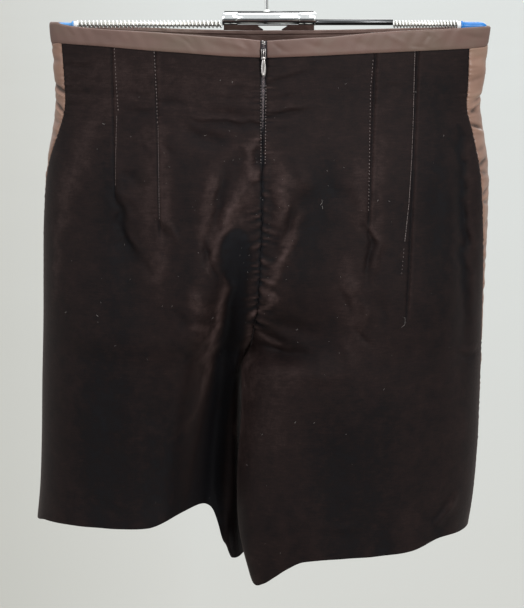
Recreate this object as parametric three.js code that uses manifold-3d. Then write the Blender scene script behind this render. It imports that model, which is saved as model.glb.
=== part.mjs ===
// High-waisted velvet shorts, zipped at the back, held open at the waist by a spring-armed hanger.
// Millimetres, +Z up, -Y towards the garment's back, +X to the right of someone who faces that side.
// The origin is the highest point inside the crook of the hook, where a rail carries the hanger.
import * as THREE from "three";
import { mergeVertices } from "three/addons/utils/BufferGeometryUtils.js";
import Module from "manifold-3d";

const wasm = await Module();
wasm.setup();

// Driving sizes of the cloth.
const CLOTH = 2; // velvet with its backing
const BAND_CLOTH = 3; // the folded satin waistband
const BAND_PROUD = 0.5; // how far the waistband stands out from the velvet
const STRIPE_WIDTH = 30; // the satin stripe over each side
const SEAM = 0.3; // gap between two pieces that are sewn together
const ZIP_WIDTH = 3.2;
const ZIP_DEPTH = 1.6;
const ZIP_SUNK = 0.2; // how far its face lies under the velvet's
const ZIP_END_Z = -276; // where the room for the zip closes on the centre back seam
const ZIP_END_LEVEL = 5.8; // the level that its last row stays above
const ZIP_CLOSING = 10; // the height over which that room narrows
const BAND_SLOT = 6.2; // between the two ends of the back waistband
const PANEL_ROWS = 30;

// How the rows of the cloth run, as shares.
const TORSO_FLATNESS = 0.55; // how far a row runs straight on at the centre seam, of the half width
const LEG_FULLNESS = 1.33; // how far it runs straight back from the inseam, of the depth
const FOLD_FADE = 22; // how near the inseam, in millimetres, the folds fade out
const BAND_HOLD = 0.8; // how many levels under the waistband the folds take to reach their depth

// Levels from the waistband's top edge (0) over its lower edge (1) and the crotch (9) to the hem (13).
// back, front: how far the wall stands from the middle plane. round: how full the side is, as a
// share of that depth. turn: 0 where a row ends at the centre seam, 1 at the inseam.
const LEVELS = [
  { back: 45, front: 45, round: 0.35, turn: 0 },
  { back: 47, front: 46, round: 0.35, turn: 0 },
  { back: 55, front: 52, round: 0.38, turn: 0 },
  { back: 63, front: 58, round: 0.42, turn: 0 },
  { back: 72, front: 65, round: 0.46, turn: 0 },
  { back: 84, front: 75, round: 0.56, turn: 0 },
  { back: 92, front: 84, round: 0.66, turn: 0 },
  { back: 99, front: 92, round: 0.78, turn: 0.1 },
  { back: 103, front: 98, round: 0.92, turn: 0.5 },
  { back: 96, front: 91, round: 1.16, turn: 1 },
  { back: 91, front: 88, round: 1.28, turn: 1 },
  { back: 88, front: 86, round: 1.33, turn: 1 },
  { back: 88, front: 86, round: 1.33, turn: 1 },
  { back: 88, front: 86, round: 1.33, turn: 1 },
];
const BAND_LEVEL = 1;
const HEM_LEVEL = 13;

// The two halves of the garment, level by level. sideX, sideZ: the outermost line. seamX, seamZ: the
// centre seam and, under the crotch, the inseam, which stands seamY in front of the middle plane.
// lean: how far the back wall swings sideways before the inseam. stripe: how far the middle of the
// satin stripe has turned towards the front.
const LEFT = {
  sign: -1,
  rows: [
    { sideX: -187, sideZ: -95.3, seamX: -2.6, seamZ: -104.6, seamY: 0, lean: 0, stripe: 1 },
    { sideX: -185.5, sideZ: -112, seamX: -2.7, seamZ: -121, seamY: 0, lean: 0, stripe: 1 },
    { sideX: -183.4, sideZ: -143, seamX: -3, seamZ: -151, seamY: 0, lean: 0, stripe: -1 },
    { sideX: -182.9, sideZ: -165, seamX: -3.3, seamZ: -172, seamY: 0, lean: 0, stripe: -3 },
    { sideX: -186, sideZ: -187, seamX: -3.6, seamZ: -193, seamY: 0, lean: 0, stripe: -1 },
    { sideX: -192, sideZ: -222, seamX: -4, seamZ: -228, seamY: 0, lean: 0, stripe: 8 },
    { sideX: -195.3, sideZ: -267, seamX: -4.7, seamZ: -274, seamY: 0, lean: 0, stripe: 17 },
    { sideX: -196.3, sideZ: -310, seamX: -7.5, seamZ: -322, seamY: 0, lean: 0, stripe: 19 },
    { sideX: -197, sideZ: -346, seamX: -12.5, seamZ: -362, seamY: 0, lean: 0, stripe: 20 },
    { sideX: -197.8, sideZ: -372, seamX: -16.5, seamZ: -388, seamY: 6, lean: 0, stripe: 21 },
    { sideX: -199.2, sideZ: -410, seamX: -19.5, seamZ: -427, seamY: 9, lean: -12, stripe: 22 },
    { sideX: -200.6, sideZ: -460, seamX: -19.5, seamZ: -480, seamY: 12, lean: -12, stripe: 22 },
    { sideX: -202.8, sideZ: -505, seamX: -19, seamZ: -530, seamY: 12, lean: -8, stripe: 22 },
    { sideX: -205.9, sideZ: -534.4, seamX: -18, seamZ: -560, seamY: 8, lean: 0, stripe: 22 },
  ],
};
const RIGHT = {
  sign: 1,
  rows: [
    { sideX: 192.7, sideZ: -97, seamX: -2.6, seamZ: -104.6, seamY: 0, lean: 0, stripe: -8 },
    { sideX: 191, sideZ: -113, seamX: -2.7, seamZ: -121, seamY: 0, lean: 0, stripe: -8 },
    { sideX: 188.4, sideZ: -143, seamX: -3, seamZ: -151, seamY: 0, lean: 0, stripe: -8 },
    { sideX: 185.2, sideZ: -165, seamX: -3.3, seamZ: -172, seamY: 0, lean: 0, stripe: -8 },
    { sideX: 188.4, sideZ: -187, seamX: -3.6, seamZ: -193, seamY: 0, lean: 0, stripe: -8 },
    { sideX: 193.3, sideZ: -222, seamX: -4, seamZ: -228, seamY: 0, lean: 0, stripe: -8 },
    { sideX: 193.4, sideZ: -267, seamX: -4.7, seamZ: -274, seamY: 0, lean: 0, stripe: -6 },
    { sideX: 192, sideZ: -310, seamX: -7.5, seamZ: -322, seamY: 0, lean: 0, stripe: -2 },
    { sideX: 191, sideZ: -346, seamX: -12.5, seamZ: -362, seamY: 0, lean: -36, stripe: 3 },
    { sideX: 190.7, sideZ: -372, seamX: -14.5, seamZ: -388, seamY: -7, lean: -54, stripe: 6 },
    { sideX: 190, sideZ: -410, seamX: -11, seamZ: -427, seamY: -12, lean: -68, stripe: 9 },
    { sideX: 189, sideZ: -460, seamX: -10, seamZ: -482, seamY: -14, lean: -84, stripe: 12 },
    { sideX: 186, sideZ: -508, seamX: -9, seamZ: -535, seamY: -14, lean: -84, stripe: 14 },
    { sideX: 182, sideZ: -540, seamX: -7, seamZ: -574, seamY: -12, lean: -62, stripe: 15 },
  ],
};

// The height of the hem from side to inseam.
const HEM = {
  leftBack: [
    { x: -205.9, z: -534.4 },
    { x: -196, z: -527.5 },
    { x: -162, z: -524 },
    { x: -103, z: -522.5 },
    { x: -78, z: -515.5 },
    { x: -57, z: -519.5 },
    { x: -48, z: -526 },
    { x: -40, z: -545 },
    { x: -33, z: -553 },
    { x: -28, z: -565 },
    { x: -18, z: -566 },
  ],
  rightBack: [
    { x: -28, z: -555 },
    { x: -18, z: -564 },
    { x: -11, z: -578 },
    { x: -3, z: -575.5 },
    { x: 6, z: -568 },
    { x: 17, z: -559 },
    { x: 32, z: -551 },
    { x: 64, z: -547.5 },
    { x: 126, z: -545 },
    { x: 152, z: -538.3 },
    { x: 182, z: -540 },
  ],
  leftFront: [
    { x: -205.9, z: -534.4 },
    { x: -140, z: -529 },
    { x: -70, z: -532 },
    { x: -18, z: -566 },
  ],
  rightFront: [
    { x: -7, z: -576.5 },
    { x: 50, z: -548 },
    { x: 120, z: -541 },
    { x: 182, z: -540 },
  ],
};
const HEM_FROM = 10.2; // the level from which the rows start to follow the hem

// Large folds, each along a line of points in X and Z.
// depth: into the garment, negative for a ridge. half: half width.
const BACK_FOLDS = [
  // The deep valley beside the left leg's inner side.
  [
    { x: -20, z: -268, half: 9, depth: 0 },
    { x: -33, z: -330, half: 13, depth: 22 },
    { x: -42, z: -385, half: 15, depth: 36 },
    { x: -48, z: -445, half: 17, depth: 43 },
    { x: -55, z: -535, half: 19, depth: 50 },
  ],
  // The drape ridge to its left.
  [
    { x: -52, z: -262, half: 14, depth: 0 },
    { x: -62, z: -345, half: 15, depth: -6 },
    { x: -84, z: -450, half: 16, depth: -6 },
    { x: -96, z: -535, half: 20, depth: -2 },
  ],
  // The hollow under the left outer dart.
  [
    { x: -128, z: -232, half: 12, depth: 0 },
    { x: -121, z: -275, half: 13, depth: 6 },
    { x: -108, z: -345, half: 14, depth: 0 },
  ],
  // Two pulls from the crotch into the right leg.
  [
    { x: -2, z: -352, half: 7, depth: 0 },
    { x: 12, z: -368, half: 8, depth: 7 },
    { x: 44, z: -376, half: 9, depth: 0 },
  ],
  [
    { x: -2, z: -335, half: 8, depth: 0 },
    { x: 16, z: -344, half: 8, depth: 5 },
    { x: 50, z: -352, half: 9, depth: 0 },
  ],
  // The drag line from the centre seam down to the crotch.
  [
    { x: 34, z: -222, half: 10, depth: 0 },
    { x: 14, z: -275, half: 10, depth: 6 },
    { x: -4, z: -335, half: 8, depth: 0 },
  ],
  // The hollow beside the right side.
  [
    { x: 170, z: -180, half: 9, depth: 0 },
    { x: 171, z: -260, half: 9, depth: 6 },
    { x: 172, z: -350, half: 10, depth: 4 },
    { x: 166, z: -450, half: 12, depth: 0 },
  ],
  // Two crosswise creases left of the zip.
  [
    { x: -66, z: -166, half: 6, depth: 0 },
    { x: -32, z: -168, half: 6, depth: 3.5 },
    { x: -6, z: -170, half: 5, depth: 1 },
  ],
  [
    { x: -80, z: -180, half: 8, depth: 0 },
    { x: -48, z: -184, half: 8, depth: 4 },
    { x: -10, z: -182, half: 6, depth: 0 },
  ],
];
const FRONT_FOLDS = [
  [
    { x: -40, z: -300, half: 14, depth: 0 },
    { x: -52, z: -400, half: 16, depth: 16 },
    { x: -60, z: -535, half: 20, depth: 22 },
  ],
  [
    { x: 30, z: -310, half: 14, depth: 0 },
    { x: 40, z: -410, half: 16, depth: 12 },
    { x: 46, z: -545, half: 20, depth: 18 },
  ],
  [
    { x: 120, z: -240, half: 14, depth: 0 },
    { x: 126, z: -330, half: 15, depth: 6 },
    { x: 122, z: -440, half: 16, depth: 0 },
  ],
];

// Darts run down from the waistband at topX, stop at endX, endZ and point to hemX.
// They press a crease into the wall.
const DARTS = {
  leftBack: [
    { topX: -132, endX: -129, endZ: -238, hemX: -126 },
    { topX: -94.5, endX: -90, endZ: -262, hemX: -88 },
  ],
  rightBack: [
    { topX: 129, endX: 119, endZ: -335, hemX: 112 },
    { topX: 93, endX: 86, endZ: -262, hemX: 82 },
  ],
  leftFront: [{ topX: -96, endX: -94, endZ: -220, hemX: -92 }],
  rightFront: [{ topX: 92, endX: 90, endZ: -220, hemX: 88 }],
};
const DART_CREASE = 1.6; // depth
const DART_HALF = 3; // half width of the strip that has its own columns
const DART_SHARP = 1.5; // half width of the crease
const DART_FADE = 25; // the length over which its lower end fades out

// ---------- small maths ----------

const mix = (a, b, t) => a + (b - a) * t;
const clamp01 = (t) => Math.min(1, Math.max(0, t));
const smooth = (t) => clamp01(t) ** 2 * (3 - 2 * clamp01(t));

// The cubic from a to b whose slopes there are slopeA and slopeB.
function hermite(a, slopeA, b, slopeB, t) {
  const value = a * (1 + 2 * t) * (1 - t) ** 2 + b * t * t * (3 - 2 * t);
  return value + slopeA * t * (1 - t) ** 2 + slopeB * t * t * (t - 1);
}

// One column of a table at a level between its rows, on a smooth curve through them.
function column(rows, name, level) {
  const i = Math.min(rows.length - 2, Math.max(0, Math.floor(level)));
  const t = level - i;
  const at = (k) => rows[Math.min(rows.length - 1, Math.max(0, k))][name];
  const [a, b, c, d] = [at(i - 1), at(i), at(i + 1), at(i + 2)];
  const [mb, mc] = [(c - a) / 2, (d - b) / 2];
  return hermite(b, mb, c, mc, t);
}

// The height of a hem table at an X, on a smooth curve through its points.
function hemZ(points, x) {
  const last = points.length - 1;
  const passed = points.filter((p) => p.x <= x).length;
  const i = Math.min(last - 1, Math.max(0, passed - 1));
  const slope = (k) => {
    const [before, after] = [points[Math.max(0, k - 1)], points[Math.min(last, k + 1)]];
    return (after.z - before.z) / (after.x - before.x);
  };
  const [p, q] = [points[i], points[i + 1]];
  const gap = q.x - p.x;
  return hermite(p.z, slope(i) * gap, q.z, slope(i + 1) * gap, clamp01((x - p.x) / gap));
}

// ---------- the surface of the cloth ----------

const ROW_STEPS = 48;

// Half a ring of the garment at a level, from the outermost line to the seam: its points and their
// running length.
function halfRing(side, isBack, level) {
  const s = (name) => column(side.rows, name, level);
  const l = (name) => column(LEVELS, name, level);
  const towards = isBack ? -1 : 1;
  const depth = l(isBack ? "back" : "front");
  const turn = clamp01(l("turn"));
  const width = Math.abs(s("sideX") - s("seamX"));
  const start = new THREE.Vector3(s("sideX"), 0, s("sideZ"));
  const end = new THREE.Vector3(s("seamX"), towards * depth * (1 - turn) + s("seamY") * turn, s("seamZ"));
  const startPull = new THREE.Vector3(0, towards * depth * l("round"), 0);
  const torsoPull = new THREE.Vector3(side.sign * TORSO_FLATNESS * width, 0, 0);
  const legPull = new THREE.Vector3(-towards * s("lean"), towards * depth * LEG_FULLNESS, 0);
  const endPull = torsoPull.multiplyScalar(1 - turn).add(legPull.multiplyScalar(turn));
  const [second, third] = [start.clone().add(startPull), end.clone().add(endPull)];
  const points = new THREE.CubicBezierCurve3(start, second, third, end).getPoints(ROW_STEPS);
  const run = [0];
  for (let i = 1; i < points.length; i++) {
    run.push(run[i - 1] + points[i].distanceTo(points[i - 1]));
  }
  return { points, run, length: run[ROW_STEPS] };
}

// A whole ring of one side. A place on it, along, is in millimetres from the outermost line,
// negative on the back.
const rings = new Map();
function ring(side, level) {
  const key = `${side.sign} ${level}`;
  if (!rings.has(key)) {
    rings.set(key, { back: halfRing(side, true, level), front: halfRing(side, false, level) });
  }
  return rings.get(key);
}

function halfAt(side, level, along) {
  return along < 0 ? ring(side, level).back : ring(side, level).front;
}

function onRing(side, level, along) {
  const half = halfAt(side, level, along);
  const i = half.run.findIndex((r, k) => k > 0 && (r >= Math.abs(along) || k === ROW_STEPS));
  const t = (Math.abs(along) - half.run[i - 1]) / (half.run[i] - half.run[i - 1]);
  return half.points[i - 1].clone().lerp(half.points[i], t);
}

// How far a point moves so that the last rows follow the hem.
function hemShift(side, level, along) {
  const share = smooth((level - HEM_FROM) / (HEM_LEVEL - HEM_FROM));
  if (share === 0) return 0;
  const scale = halfAt(side, HEM_LEVEL, along).length / halfAt(side, level, along).length;
  const atHem = onRing(side, HEM_LEVEL, along * scale);
  const table = HEM[(side === LEFT ? "left" : "right") + (along < 0 ? "Back" : "Front")];
  return share * (hemZ(table, atHem.x) - atHem.z);
}

// How deep the folds press the wall in at a point.
function foldDepth(folds, x, z) {
  let sum = 0;
  for (const fold of folds) {
    let nearest = Infinity;
    let found = null;
    for (let i = 1; i < fold.length; i++) {
      const [a, b] = [fold[i - 1], fold[i]];
      const [dx, dz] = [b.x - a.x, b.z - a.z];
      const t = clamp01(((x - a.x) * dx + (z - a.z) * dz) / (dx * dx + dz * dz));
      const gap = Math.hypot(x - mix(a.x, b.x, t), z - mix(a.z, b.z, t));
      if (gap < nearest) {
        nearest = gap;
        found = { half: mix(a.half, b.half, t), depth: mix(a.depth, b.depth, t) };
      }
    }
    sum += found.depth * Math.exp(-((nearest / found.half) ** 2));
  }
  return sum;
}

function dartX(dart, z) {
  const top = LEFT.rows[BAND_LEVEL].sideZ;
  const hem = LEFT.rows[HEM_LEVEL].sideZ;
  if (z > dart.endZ) return mix(dart.topX, dart.endX, (top - z) / (top - dart.endZ));
  return mix(dart.endX, dart.hemX, clamp01((dart.endZ - z) / (dart.endZ - hem)));
}

function dartDepth(darts, x, z) {
  return darts.reduce((sum, dart) => {
    const strength = smooth((z - dart.endZ) / DART_FADE + 0.5);
    return sum + DART_CREASE * strength * Math.exp(-(((x - dartX(dart, z)) / DART_SHARP) ** 2));
  }, 0);
}

// The outer face of the cloth, with its folds, which fade out before the inseam, so that front and
// back meet there.
function clothPoint({ side, level, along, darts = [] }) {
  const p = onRing(side, level, along);
  p.z += hemShift(side, level, along);
  const into = along < 0 ? 1 : -1;
  const turn = clamp01(column(LEVELS, "turn", level));
  const fromEnd = halfAt(side, level, along).length - Math.abs(along);
  const room = smooth((level - BAND_LEVEL) / BAND_HOLD) * mix(1, smooth(fromEnd / FOLD_FADE), turn);
  const folds = foldDepth(along < 0 ? BACK_FOLDS : FRONT_FOLDS, p.x, p.z);
  p.y += into * (room * folds + dartDepth(darts, p.x, p.z));
  return p;
}

const NORMAL_REACH = { along: 1, level: 0.03 }; // how far apart the points are that give a normal

// The same point moved out along the face's normal.
function movedPoint(spot, distance) {
  const at = (level, along) =>
    clothPoint({ ...spot, level: spot.level + level, along: spot.along + along });
  const across = at(0, NORMAL_REACH.along).sub(at(0, -NORMAL_REACH.along));
  const down = at(NORMAL_REACH.level, 0).sub(at(-NORMAL_REACH.level, 0));
  const normal = down.cross(across).multiplyScalar(spot.side.sign).normalize();
  return at(0, 0).addScaledVector(normal, distance);
}

// ---------- walls ----------

// A closed wall between two grids of points, outer and inner, that have the same rows and columns.
function wallGeometry(outer, inner) {
  const rows = outer.length;
  const cols = outer[0].length;
  const positions = [...outer.flat(), ...inner.flat()].flatMap((p) => [p.x, p.y, p.z]);
  const o = (r, c) => r * cols + c;
  const i = (r, c) => rows * cols + r * cols + c;
  const index = [];
  const quad = (a, b, c, d) => index.push(a, b, c, a, c, d);
  for (let r = 0; r < rows - 1; r++) {
    for (let c = 0; c < cols - 1; c++) {
      quad(o(r, c), o(r + 1, c), o(r + 1, c + 1), o(r, c + 1));
      quad(i(r, c), i(r, c + 1), i(r + 1, c + 1), i(r + 1, c));
    }
  }
  for (let c = 0; c < cols - 1; c++) {
    quad(o(0, c), o(0, c + 1), i(0, c + 1), i(0, c));
    quad(o(rows - 1, c), i(rows - 1, c), i(rows - 1, c + 1), o(rows - 1, c + 1));
  }
  for (let r = 0; r < rows - 1; r++) {
    quad(o(r, 0), i(r, 0), i(r + 1, 0), o(r + 1, 0));
    quad(o(r, cols - 1), o(r + 1, cols - 1), i(r + 1, cols - 1), i(r, cols - 1));
  }
  const geometry = new THREE.BufferGeometry();
  geometry.setAttribute("position", new THREE.Float32BufferAttribute(positions, 3));
  geometry.setIndex(index);
  return geometry;
}

// A wall of cloth on a grid of spots. proud: how far its outer face stands over them.
function clothWall(spots, thickness, proud = 0) {
  const face = (distance) => spots.map((row) => row.map((spot) => movedPoint(spot, distance)));
  return wallGeometry(face(proud), face(proud - thickness));
}

// The spots of one row, in the order that turns the wall's outer face outwards.
function spotRow(side, level, places, darts) {
  const row = places.map((along) => ({ side, level, along, darts }));
  return row.sort((a, b) => side.sign * (a.along - b.along));
}

function mesh(name, geometry, material) {
  geometry.computeVertexNormals();
  const made = new THREE.Mesh(geometry, material);
  made.name = name;
  return made;
}

// ---------- materials ----------

function material(color, roughness, metalness = 0) {
  return new THREE.MeshStandardMaterial({ color, roughness, metalness });
}
const velvet = material(0x241a18, 0.85);
const satin = material(0x7b6053, 0.42);
const zipTape = material(0x1d1517, 0.7);
const zipMetal = material(0xb9b4b0, 0.35, 0.9);
const chrome = material(0xdfe2e4, 0.12, 1);
const springSteel = material(0xc4c6c6, 0.3, 1);
const blueRubber = material(0x1f6fc4, 0.45);

// ---------- velvet panels ----------

// Where a back panel's inner edge stops short of the centre line: it makes room for the zip.
function seamRoom(side, level) {
  const z = column(side.rows, "seamZ", level);
  return mix(SEAM / 2, ZIP_WIDTH / 2 + SEAM, smooth((z - ZIP_END_Z) / ZIP_CLOSING));
}

// The place of a dart on a half ring, in millimetres from the outermost line.
function dartPlace(half, dart, sign) {
  const past = (p) => (dartX(dart, p.z) - p.x) * sign;
  const sideFold = 2; // the steps of the ring that turn round the side
  const i = half.points.findIndex((p, k) => k > sideFold && past(p) > 0);
  const [before, after] = [past(half.points[i - 1]), past(half.points[i])];
  return mix(half.run[i - 1], half.run[i], before / (before - after));
}

// The places of one row: even steps between the side edge, the darts and the seam edge, with three
// at each dart. counts: the steps of each stretch.
function rowPlaces(side, isBack, darts, level, counts) {
  const { back, front } = ring(side, level);
  const half = isBack ? back : front;
  const flip = isBack ? -1 : 1;
  const knots = [column(side.rows, "stripe", level) + flip * (STRIPE_WIDTH / 2 + SEAM)];
  for (const dart of darts) {
    const at = flip * dartPlace(half, dart, side.sign);
    knots.push(at - flip * DART_HALF, at, at + flip * DART_HALF);
  }
  knots.push(flip * (half.length - (isBack ? seamRoom(side, level) : SEAM / 2)));
  const steps = counts.flatMap((n, i) => (i < darts.length ? [n, 1, 1] : [n]));
  const places = [knots[0]];
  steps.forEach((n, k) => {
    for (let j = 1; j <= n; j++) places.push(mix(knots[k], knots[k + 1], j / n));
  });
  return places;
}

// The levels of the rows below the waistband.
const UNDER_BAND = 0.012; // a seam's gap, as a part of a level
function rowLevels(count) {
  const top = BAND_LEVEL + UNDER_BAND;
  return Array.from({ length: count + 1 }, (_, i) => mix(top, HEM_LEVEL, i / count));
}

function panel(name, side, isBack, darts, counts) {
  const spots = rowLevels(PANEL_ROWS).map((level) =>
    spotRow(side, level, rowPlaces(side, isBack, darts, level, counts), darts),
  );
  return mesh(name, clothWall(spots, CLOTH), velvet);
}

// ---------- satin side stripes ----------

function sideStripe(name, side) {
  const spots = rowLevels(PANEL_ROWS).map((level) => {
    const middle = column(side.rows, "stripe", level);
    const places = [-1, -0.5, 0, 0.5, 1].map((share) => middle + (share * STRIPE_WIDTH) / 2);
    return spotRow(side, level, places, []);
  });
  return mesh(name, clothWall(spots, CLOTH), satin);
}

// ---------- satin waistband ----------

const BAND_LEVELS = [0, 0.5, 1];
const BAND_COLUMNS = 22;
const BAND_CROWDING = 1.5; // over 1, its columns lie closer together round the tight side fold

// One row of the waistband from the side to its end near the centre.
function bandRow(side, isBack, level) {
  const { back, front } = ring(side, level);
  const end = isBack ? back.length - BAND_SLOT / 2 : front.length;
  const places = Array.from({ length: BAND_COLUMNS + 1 }, (_, i) => {
    const along = mix(SEAM / 2, end, (i / BAND_COLUMNS) ** BAND_CROWDING);
    return isBack ? -along : along;
  });
  return spotRow(side, level, places, []);
}

function backBand(name, side) {
  const spots = BAND_LEVELS.map((level) => bandRow(side, true, level));
  return mesh(name, clothWall(spots, BAND_CLOTH, BAND_PROUD), satin);
}

function frontBand(name) {
  const spots = BAND_LEVELS.map((level) => {
    return [...bandRow(RIGHT, false, level), ...bandRow(LEFT, false, level).slice(1)];
  });
  return mesh(name, clothWall(spots, BAND_CLOTH, BAND_PROUD), satin);
}

// ---------- zip ----------

const ZIP_BAND_LEVELS = [0.08, 0.5, 0.98]; // its rows inside the waistband's slot

// The closed teeth on their tape, a flat bar down the centre back seam, wider in the waistband's slot.
function zipChain() {
  const bandWidth = BAND_SLOT - 2 * SEAM;
  const levels = [...ZIP_BAND_LEVELS, ...rowLevels(PANEL_ROWS)].filter((l) => l < ZIP_END_LEVEL);
  const outer = levels.map((level) => {
    const end = ring(LEFT, level).back.points[ROW_STEPS];
    const width = level < BAND_LEVEL ? bandWidth : ZIP_WIDTH;
    return [-1, 1].map((s) => new THREE.Vector3(end.x + (s * width) / 2, end.y + ZIP_SUNK, end.z));
  });
  const inner = outer.map((row) => row.map((p) => p.clone().setY(p.y + ZIP_DEPTH)));
  return mesh("zip_chain", wallGeometry(outer, inner), zipTape);
}

const SLIDER = { x: -2.65, back: -47.1, top: -111.2, width: 4.6, height: 9.2, thick: 2.4, taper: 0.72 };
const EAR = { wide: 0.6, tall: 1.7, rim: 0.35, sunk: 0.2, play: 0.3 }; // the two ears that hold the pin
const HINGE = { y: -51.4, z: -119.8, pin: 0.45, bore: 0.8, barrel: 1.25, width: 2 };
// The pull's plate. neck: its width at the barrel. round: the length of its round end.
// tilt: degrees out from straight down.
const TAB = { length: 15.4, wide: 3.6, neck: 1.7, round: 3.4, thick: 0.9, tilt: 3 };

function solidOf(geometry) {
  const g = geometry.index ? geometry.toNonIndexed() : geometry.clone();
  g.deleteAttribute("normal");
  g.deleteAttribute("uv");
  const merged = mergeVertices(g, 1e-4);
  return new wasm.Manifold(
    new wasm.Mesh({
      numProp: 3,
      vertProperties: merged.attributes.position.array,
      triVerts: new Uint32Array(merged.index.array),
    }),
  );
}

function geometryOf(solid) {
  const { vertProperties, triVerts } = solid.getMesh();
  const geometry = new THREE.BufferGeometry();
  geometry.setAttribute("position", new THREE.BufferAttribute(vertProperties, 3));
  geometry.setIndex(new THREE.BufferAttribute(triVerts, 1));
  return geometry;
}

// A cylinder along X.
function barAlongX(radius, length, sides) {
  return new THREE.CylinderGeometry(radius, radius, length, sides).rotateZ(Math.PI / 2);
}

function zipSlider() {
  const { x, back, top, width, height, thick, taper } = SLIDER;
  const [shoulder, crown] = [-1, 0.8];
  const shield = new THREE.Shape();
  shield.moveTo(-width / 2, shoulder);
  shield.quadraticCurveTo(0, crown, width / 2, shoulder);
  shield.lineTo((taper * width) / 2, -height);
  shield.lineTo((-taper * width) / 2, -height);
  shield.closePath();
  const body = new THREE.ExtrudeGeometry(shield, { depth: thick, bevelEnabled: false, curveSegments: 4 });
  body.rotateX(Math.PI / 2).translate(x, back, top);
  const face = back - thick;
  const earLength = face + EAR.sunk - (HINGE.y - HINGE.pin - EAR.rim);
  const earX = HINGE.width / 2 + EAR.play + EAR.wide / 2;
  const ears = [-1, 1].map((s) => {
    const ear = new THREE.BoxGeometry(EAR.wide, earLength, EAR.tall);
    return ear.translate(x + s * earX, face + EAR.sunk - earLength / 2, HINGE.z);
  });
  const pin = barAlongX(HINGE.pin, 2 * earX, 12).translate(x, HINGE.y, HINGE.z);
  const whole = [...ears, pin].reduce((sum, g) => sum.add(solidOf(g)), solidOf(body));
  return mesh("zip_slider", geometryOf(whole), zipMetal);
}

// The drop-shaped pull: a barrel on the slider's pin and a thin plate that hangs from it.
function zipPull() {
  const [neck, side, end] = [TAB.neck / 2, TAB.wide / 2, -TAB.length];
  const widest = end + TAB.round;
  const [narrow, flare] = [0.33 * end, 0.45 * end];
  const drop = new THREE.Shape();
  drop.moveTo(-neck, 0);
  drop.bezierCurveTo(-neck, narrow, -side, flare, -side, widest);
  drop.bezierCurveTo(-side, end, side, end, side, widest);
  drop.bezierCurveTo(side, flare, neck, narrow, neck, 0);
  drop.closePath();
  const plate = new THREE.ExtrudeGeometry(drop, { depth: TAB.thick, bevelEnabled: false, curveSegments: 6 });
  plate.translate(0, 0, -TAB.thick / 2).rotateX(Math.PI / 2);
  const barrel = solidOf(barAlongX(HINGE.barrel, HINGE.width, 16));
  const bore = solidOf(barAlongX(HINGE.bore, HINGE.width + 2, 16));
  const whole = barrel.add(solidOf(plate)).subtract(bore);
  const made = mesh("zip_pull", geometryOf(whole), zipMetal);
  made.rotation.x = THREE.MathUtils.degToRad(-TAB.tilt);
  made.position.set(SLIDER.x, HINGE.y, HINGE.z);
  return made;
}

// ---------- hanger ----------

// The hook's wire and crook are radii. bend: the point between the shank and the crook.
const HOOK = { wire: 1.6, crook: 24.1, foot: -84.7, shankTop: -62, bend: { x: 12.5, z: -47 }, tipAngle: 200 };
const BODY = { x: 2, z: -90.5, length: 81, tall: 11, deep: 11, corner: 4.6 };
const LIP = { top: -96.4, shoulder: -97.3, bottom: -100.8, thick: 3, length: 78 };
const NOTCH = { x: 5, top: 26, bottom: 16 };
const ARM_Z = -93.2;
const SPRING_RADIUS = 3.1;
const ARMS = [
  { name: "left_spring", from: -162.5, to: -38.9, radius: SPRING_RADIUS, material: springSteel },
  { name: "right_rod", from: 42.9, to: 108, radius: 2.4, material: chrome },
  { name: "right_spring", from: 108.3, to: 165.5, radius: SPRING_RADIUS, material: springSteel },
];
const TIP = { radius: 4, endRadius: 3.2, straight: 0.35 };
const LEFT_TIP = { root: -162.8, end: -184.2 };
const RIGHT_TIP = { root: 165.8, end: 189.9 };

// The wire's middle line: up the shank, out to one side, over the top of the crook and down to its tip.
function hookWire() {
  const centre = -(HOOK.crook - HOOK.wire); // so that the origin is the inside of the crook
  const points = [
    new THREE.Vector3(0, 0, HOOK.foot),
    new THREE.Vector3(0, 0, mix(HOOK.foot, HOOK.shankTop, 0.6)),
    new THREE.Vector3(0.6, 0, HOOK.shankTop),
    new THREE.Vector3(HOOK.bend.x, 0, HOOK.bend.z),
  ];
  for (let angle = 0; angle <= HOOK.tipAngle; angle += 20) {
    const a = THREE.MathUtils.degToRad(angle);
    points.push(new THREE.Vector3(HOOK.crook * Math.cos(a), 0, centre + HOOK.crook * Math.sin(a)));
  }
  const extrudePath = new THREE.CatmullRomCurve3(points);
  const section = new THREE.Shape().absarc(0, 0, HOOK.wire, 0, 2 * Math.PI);
  const options = { steps: 44, curveSegments: 4, bevelEnabled: false, extrudePath };
  return mesh("hook", new THREE.ExtrudeGeometry(section, options), chrome);
}

function roundedBox(width, height, radius) {
  const [w, h] = [width / 2, height / 2];
  const shape = new THREE.Shape();
  shape.absarc(w - radius, h - radius, radius, 0, Math.PI / 2);
  shape.absarc(-w + radius, h - radius, radius, Math.PI / 2, Math.PI);
  shape.absarc(-w + radius, -h + radius, radius, Math.PI, 1.5 * Math.PI);
  shape.absarc(w - radius, -h + radius, radius, 1.5 * Math.PI, 2 * Math.PI);
  return shape;
}

function hangerBody() {
  const section = roundedBox(BODY.tall, BODY.deep, BODY.corner);
  const options = { depth: BODY.length, bevelEnabled: false, curveSegments: 4 };
  const body = new THREE.ExtrudeGeometry(section, options);
  body.rotateY(Math.PI / 2).translate(BODY.x - BODY.length / 2, 0, BODY.z);
  return mesh("hanger_body", body, chrome);
}

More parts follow.
